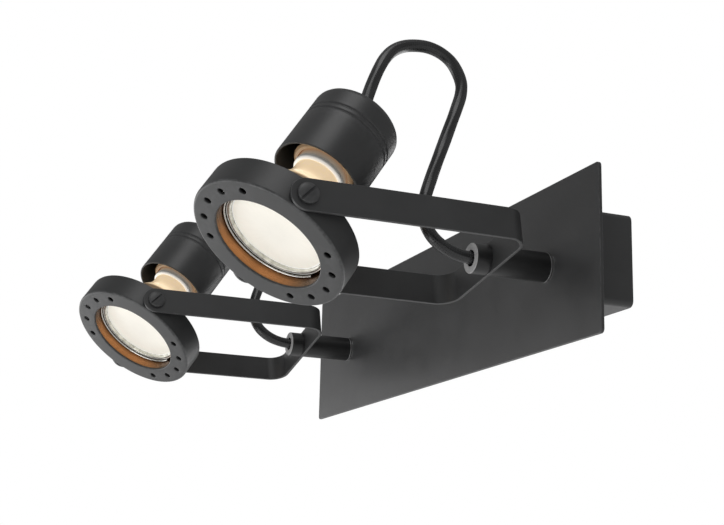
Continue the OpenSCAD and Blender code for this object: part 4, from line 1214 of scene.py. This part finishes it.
def make_tilt_screws(side):
    """The two slotted screws that the ring turns on."""
    screw = slotted_screw(head_r=4.7, head_h=2.2, dome=1.1, shank_r=2, shank_len=9.6,
                          slot_w=1.1, slot_d=1)
    slot_way, head_x = Matrix.Rotation(math.radians(78), 4, "X"), 39.2
    made = PieceMesh()
    for sign in (-1, 1):
        out = Matrix.Rotation(sign * math.pi / 2, 4, "Y")
        made.add(screw, slot_way @ Matrix.Translation((sign * head_x, 0, 0)) @ out)
    made.piece(f"tilt_screw_pair_{side}", head_frame(side), f"head_{side}", f"tilt_screws_{side}",
               "black_paint")


def make_cap(side, sizes):
    """One rear cap with its two grooves, cable bushing and holder screws."""
    placed, body = head_frame(side), f"head_{side}"
    radius, mouth, back = sizes.cap_radius / MM, -sizes.cap_mouth / MM, -sizes.cap_back / MM
    wall, cable_hole, groove_depth, groove_width = 1, 4.2, 0.45, 1.8
    inner, floor = radius - wall, back + wall
    made = PieceMesh()
    start, wear_and_highlight = rounded([(inner - 5, floor), (inner, floor), (inner, mouth), (radius, mouth),
                           (radius, -50)], [0, 3, 0.3, 0.35, 0], closed=False)
    profile, wear_and_highlight = start[1:], wear_and_highlight[1:]
    for middle in (-59.3, -62.3):
        for k in range(9):
            turn = k / 8 - 0.5
            depth = groove_depth * math.cos(math.pi * turn) ** 2
            profile.append((radius - depth, middle - groove_width * turn))
            wear_and_highlight.append(0.3)
    rear, rear_wear_and_highlight = rounded([(radius, -65), (radius, back), (radius - 6, back)], [0, 4, 0], closed=False)
    shell = made.rings(profile + rear[:-1], 128, wear_and_highlight + [w * 0.3 for w in rear_wear_and_highlight[:-1]])
    holes = ((cable_hole, 0), (HOLDER_HOLE, -HOLDER_X), (HOLDER_HOLE, HOLDER_X))
    made.close([shell] + [made.rings([(r, floor), (r, back)], 32, centre=(x, 0)) for r, x in holes])
    made.piece(f"cap_shell_{side}", placed, body, f"cap_{side}", "black_paint")

    bushing, bore, flange = PieceMesh(), 3.35, 5.4
    bushing.turned(
        [(bore, back - 4.5), (cable_hole, back - 4.5), (flange, back - 1.2), (flange, back),
         (cable_hole - 0.05, back), (cable_hole - 0.05, floor), (flange, floor), (flange, floor + 1.2),
         (bore, floor + 1.2)], [0.3, 0.4, 0.3, 0.1, 0, 0, 0.1, 0.3, 0.2], 64)
    bushing.piece(f"cable_bushing_{side}", placed, body, f"cap_bushing_{side}", "cable_sheath",
                  ["bushing_rubber"])

    screw = slotted_screw(head_r=2.7, head_h=1.8, dome=0.9, shank_r=1.5, shank_len=13.3,
                          slot_w=0.7, slot_d=0.8)
    screws, spacer, end = PieceMesh(), 2.7, -66.2
    for x in (-HOLDER_X, HOLDER_X):
        turned = Matrix.Rotation(math.pi, 4, "X") @ Matrix.Rotation(0.05 * x, 4, "Z")
        screws.add(screw, Matrix.Translation((x, 0, back)) @ turned)
        screws.turned([(HOLDER_HOLE, floor), (spacer, floor), (spacer, end), (HOLDER_HOLE, end)],
                      0.1, 32, matrix=Matrix.Translation((x, 0, 0)))
    screws.piece(f"holder_screw_set_{side}", placed, body, f"holder_screws_{side}", "zinc_steel")


def finish_fittings():
    """Gives every CAD piece that still shows the finish of its slot."""
    for part in frame["record"]["subparts"]:
        node = frame["nodes"][part["node"]]
        if node.hide_render:
            continue
        node.data.materials.clear()
        node.data.materials.append(finish_of(part["material_slot"]))


def make_floor(settings):
    """A plain pale floor far below the bar."""
    made, half = PieceMesh(), 9000
    made.bm.faces.new(made.ring([(-half, -half, 0), (half, -half, 0), (half, half, 0), (-half, half, 0)]))
    place = Matrix.Translation((0, 0, -settings.floor_depth))
    made.piece("floor", place, finishes=["floor"], weighted=False)


BAR_MIDDLE = (0, -0.08, 0.02)
SURROUND_DARK_WAY = (-0.8, 0.6)
# Each soft light's name, the setting of its power, its width and height, and its place, in metres
LIGHTS = (
    ("key_light", "key_power", 0.9, 0.8, (0.74, -0.34, 1.4)),
    ("front_fill", "front_power", 0.8, 0.5, (0.15, -0.9, -0.5)),
    ("side_fill", "side_power", 0.9, 0.6, (-0.84, -0.66, -0.2)),
    ("rim_light", "rim_power", 0.7, 0.7, (-0.5, 0.95, -0.15)),
)


def make_light(name, power, width, height, place):
    """A soft light aimed at the bar's middle."""
    data = bpy.data.lights.new(name, "AREA")
    data.shape, data.size, data.size_y, data.energy = "RECTANGLE", width, height, power
    light = bpy.data.objects.new(name, data)
    bpy.context.scene.collection.objects.link(light)
    light.location = place
    light.rotation_mode = "QUATERNION"
    light.rotation_quaternion = (Vector(BAR_MIDDLE) - Vector(place)).to_track_quat("-Z", "Y")


def make_world(settings):
    """A surround that is white behind the bar and dimmer in reflections, as in a dark studio."""
    world = bpy.data.worlds.new("studio")
    bpy.context.scene.world = world
    world.use_nodes = True
    world.node_tree.nodes.clear()
    sky = Nodes(world.node_tree)
    rays = sky.node("ShaderNodeLightPath").outputs
    x, y, _ = sky.parts(sky.node("ShaderNodeTexCoord").outputs["Generated"])
    away = sky.along(x, y, SURROUND_DARK_WAY)
    mirrored = sky.spread(away, 0.6, 0.95, settings.mirrored, settings.mirrored * 0.1)
    glossy = sky.maths("MULTIPLY", rays["Is Glossy Ray"], mirrored)
    other = sky.maths("MULTIPLY", sky.maths("SUBTRACT", 1.0, rays["Is Glossy Ray"]), settings.surround)
    behind = sky.maths("MAXIMUM", rays["Is Camera Ray"], rays["Is Transmission Ray"])
    strength = sky.maths("MAXIMUM", sky.maths("ADD", glossy, other), behind)
    shown = sky.node("ShaderNodeBackground", {"Strength": strength, "Color": (1, 1, 1)})
    sky.node("ShaderNodeOutputWorld", {"Surface": shown.outputs["Background"]})


# Operators, one for each piece or group of like pieces

class SPOTBAR_OT_camera(bpy.types.Operator):
    """Make the camera at the photograph's place"""

    bl_idname = "spotbar.camera"
    bl_label = "Make camera"

    def execute(self, context):
        make_camera(context.scene.bar_stage)
        return {"FINISHED"}


class SPOTBAR_OT_cables(bpy.types.Operator):
    """Make the two looped cables"""

    bl_idname = "spotbar.cables"
    bl_label = "Make cables"

    def execute(self, context):
        for side in SIDES:
            make_cable(side, context.scene.bar_cable)
        return {"FINISHED"}


class SPOTBAR_OT_front_plate(bpy.types.Operator):
    """Make the front plate"""

    bl_idname = "spotbar.front_plate"
    bl_label = "Make front plate"

    def execute(self, context):
        make_front_plate(context.scene.bar_sizes)
        return {"FINISHED"}


class SPOTBAR_OT_box(bpy.types.Operator):
    """Make the box behind the plate and its side screws"""

    bl_idname = "spotbar.box"
    bl_label = "Make box"

    def execute(self, context):
        make_box(context.scene.bar_sizes)
        return {"FINISHED"}


class SPOTBAR_OT_wall_bracket(bpy.types.Operator):
    """Make the wall bracket and the mains grommet"""

    bl_idname = "spotbar.wall_bracket"
    bl_label = "Make wall bracket"

    def execute(self, context):
        make_wall_bracket()
        return {"FINISHED"}


class SPOTBAR_OT_stems(bpy.types.Operator):
    """Make the two stems"""

    bl_idname = "spotbar.stems"
    bl_label = "Make stems"

    def execute(self, context):
        for side in SIDES:
            make_stem(side, context.scene.bar_sizes)
        return {"FINISHED"}


class SPOTBAR_OT_collars(bpy.types.Operator):
    """Make the two collars"""

    bl_idname = "spotbar.collars"
    bl_label = "Make collars"

    def execute(self, context):
        for side in SIDES:
            make_collar(side, context.scene.bar_sizes)
        return {"FINISHED"}


class SPOTBAR_OT_yokes(bpy.types.Operator):
    """Make the two bent yokes"""

    bl_idname = "spotbar.yokes"
    bl_label = "Make yokes"

    def execute(self, context):
        for side in SIDES:
            make_yoke(side, context.scene.bar_yoke)
        return {"FINISHED"}


class SPOTBAR_OT_rings(bpy.types.Operator):
    """Make the two vented rings and their copper liners"""

    bl_idname = "spotbar.rings"
    bl_label = "Make rings"

    def execute(self, context):
        for side in SIDES:
            make_ring(side, context.scene.bar_head)
            make_liner(side, context.scene.bar_head)
        return {"FINISHED"}


class SPOTBAR_OT_lamps(bpy.types.Operator):
    """Make the two lamps"""

    bl_idname = "spotbar.lamps"
    bl_label = "Make lamps"

    def execute(self, context):
        for side in SIDES:
            make_lamp(side, context.scene.bar_head)
        return {"FINISHED"}


class SPOTBAR_OT_tilt_screws(bpy.types.Operator):
    """Make the slotted screws that the rings turn on"""

    bl_idname = "spotbar.tilt_screws"
    bl_label = "Make tilt screws"

    def execute(self, context):
        for side in SIDES:
            make_tilt_screws(side)
        return {"FINISHED"}


class SPOTBAR_OT_caps(bpy.types.Operator):
    """Make the two rear caps with their bushings and screws"""

    bl_idname = "spotbar.caps"
    bl_label = "Make caps"

    def execute(self, context):
        for side in SIDES:
            make_cap(side, context.scene.bar_head)
        return {"FINISHED"}


class SPOTBAR_OT_fittings(bpy.types.Operator):
    """Give the nuts, washers, terminals and other fittings their finishes"""

    bl_idname = "spotbar.fittings"
    bl_label = "Finish fittings"

    def execute(self, context):
        finish_fittings()
        return {"FINISHED"}


class SPOTBAR_OT_stage(bpy.types.Operator):
    """Make the floor, the lights and the surround"""

    bl_idname = "spotbar.stage"
    bl_label = "Make stage"

    def execute(self, context):
        settings = context.scene.bar_stage
        make_floor(settings)
        make_world(settings)
        for name, power, width, height, place in LIGHTS:
            make_light(name, getattr(settings, power), width, height, place)
        context.scene.view_settings.view_transform = "Standard"
        return {"FINISHED"}


class SPOTBAR_PT_maker(bpy.types.Panel):
    """The bar's makers and sizes in the 3D view's sidebar"""

    bl_idname = "SPOTBAR_PT_maker"
    bl_label = "Spotlight bar"
    bl_space_type = "VIEW_3D"
    bl_region_type = "UI"
    bl_category = "Spotlight bar"

    def draw(self, context):
        layout = self.layout
        for operator in MAKERS:
            layout.operator(operator.bl_idname)
        for name in GROUPS:
            group = getattr(context.scene, name)
            column = layout.box().column()
            for key in group.bl_rna.properties.keys():
                if key not in {"rna_type", "name"}:
                    column.prop(group, key)


GROUPS = {
    "bar_sizes": BarSizes,
    "bar_yoke": YokeSizes,
    "bar_head": HeadSizes,
    "bar_cable": CableSizes,
    "bar_colours": FinishColours,
    "bar_stage": StageSettings,
}
MAKERS = (
    SPOTBAR_OT_camera,
    SPOTBAR_OT_cables,
    SPOTBAR_OT_front_plate,
    SPOTBAR_OT_box,
    SPOTBAR_OT_wall_bracket,
    SPOTBAR_OT_stems,
    SPOTBAR_OT_collars,
    SPOTBAR_OT_yokes,
    SPOTBAR_OT_rings,
    SPOTBAR_OT_lamps,
    SPOTBAR_OT_tilt_screws,
    SPOTBAR_OT_caps,
    SPOTBAR_OT_fittings,
    SPOTBAR_OT_stage,
)


def register():
    for group in GROUPS.values():
        bpy.utils.register_class(group)
    for name, group in GROUPS.items():
        setattr(bpy.types.Scene, name, PointerProperty(type=group))
    for operator in MAKERS:
        bpy.utils.register_class(operator)
    bpy.utils.register_class(SPOTBAR_PT_maker)


def unregister():
    bpy.utils.unregister_class(SPOTBAR_PT_maker)
    for operator in reversed(MAKERS):
        bpy.utils.unregister_class(operator)
    for name in GROUPS:
        delattr(bpy.types.Scene, name)
    for group in reversed(GROUPS.values()):
        bpy.utils.unregister_class(group)


def main():
    register()
    bpy.ops.spotbar.camera()
    bpy.ops.spotbar.cables()
    bpy.ops.spotbar.front_plate()
    bpy.ops.spotbar.box()
    bpy.ops.spotbar.wall_bracket()
    bpy.ops.spotbar.stems()
    bpy.ops.spotbar.collars()
    bpy.ops.spotbar.yokes()
    bpy.ops.spotbar.rings()
    bpy.ops.spotbar.lamps()
    bpy.ops.spotbar.tilt_screws()
    bpy.ops.spotbar.caps()
    bpy.ops.spotbar.fittings()
    bpy.ops.spotbar.stage()


if __name__ == "__main__":
    main()
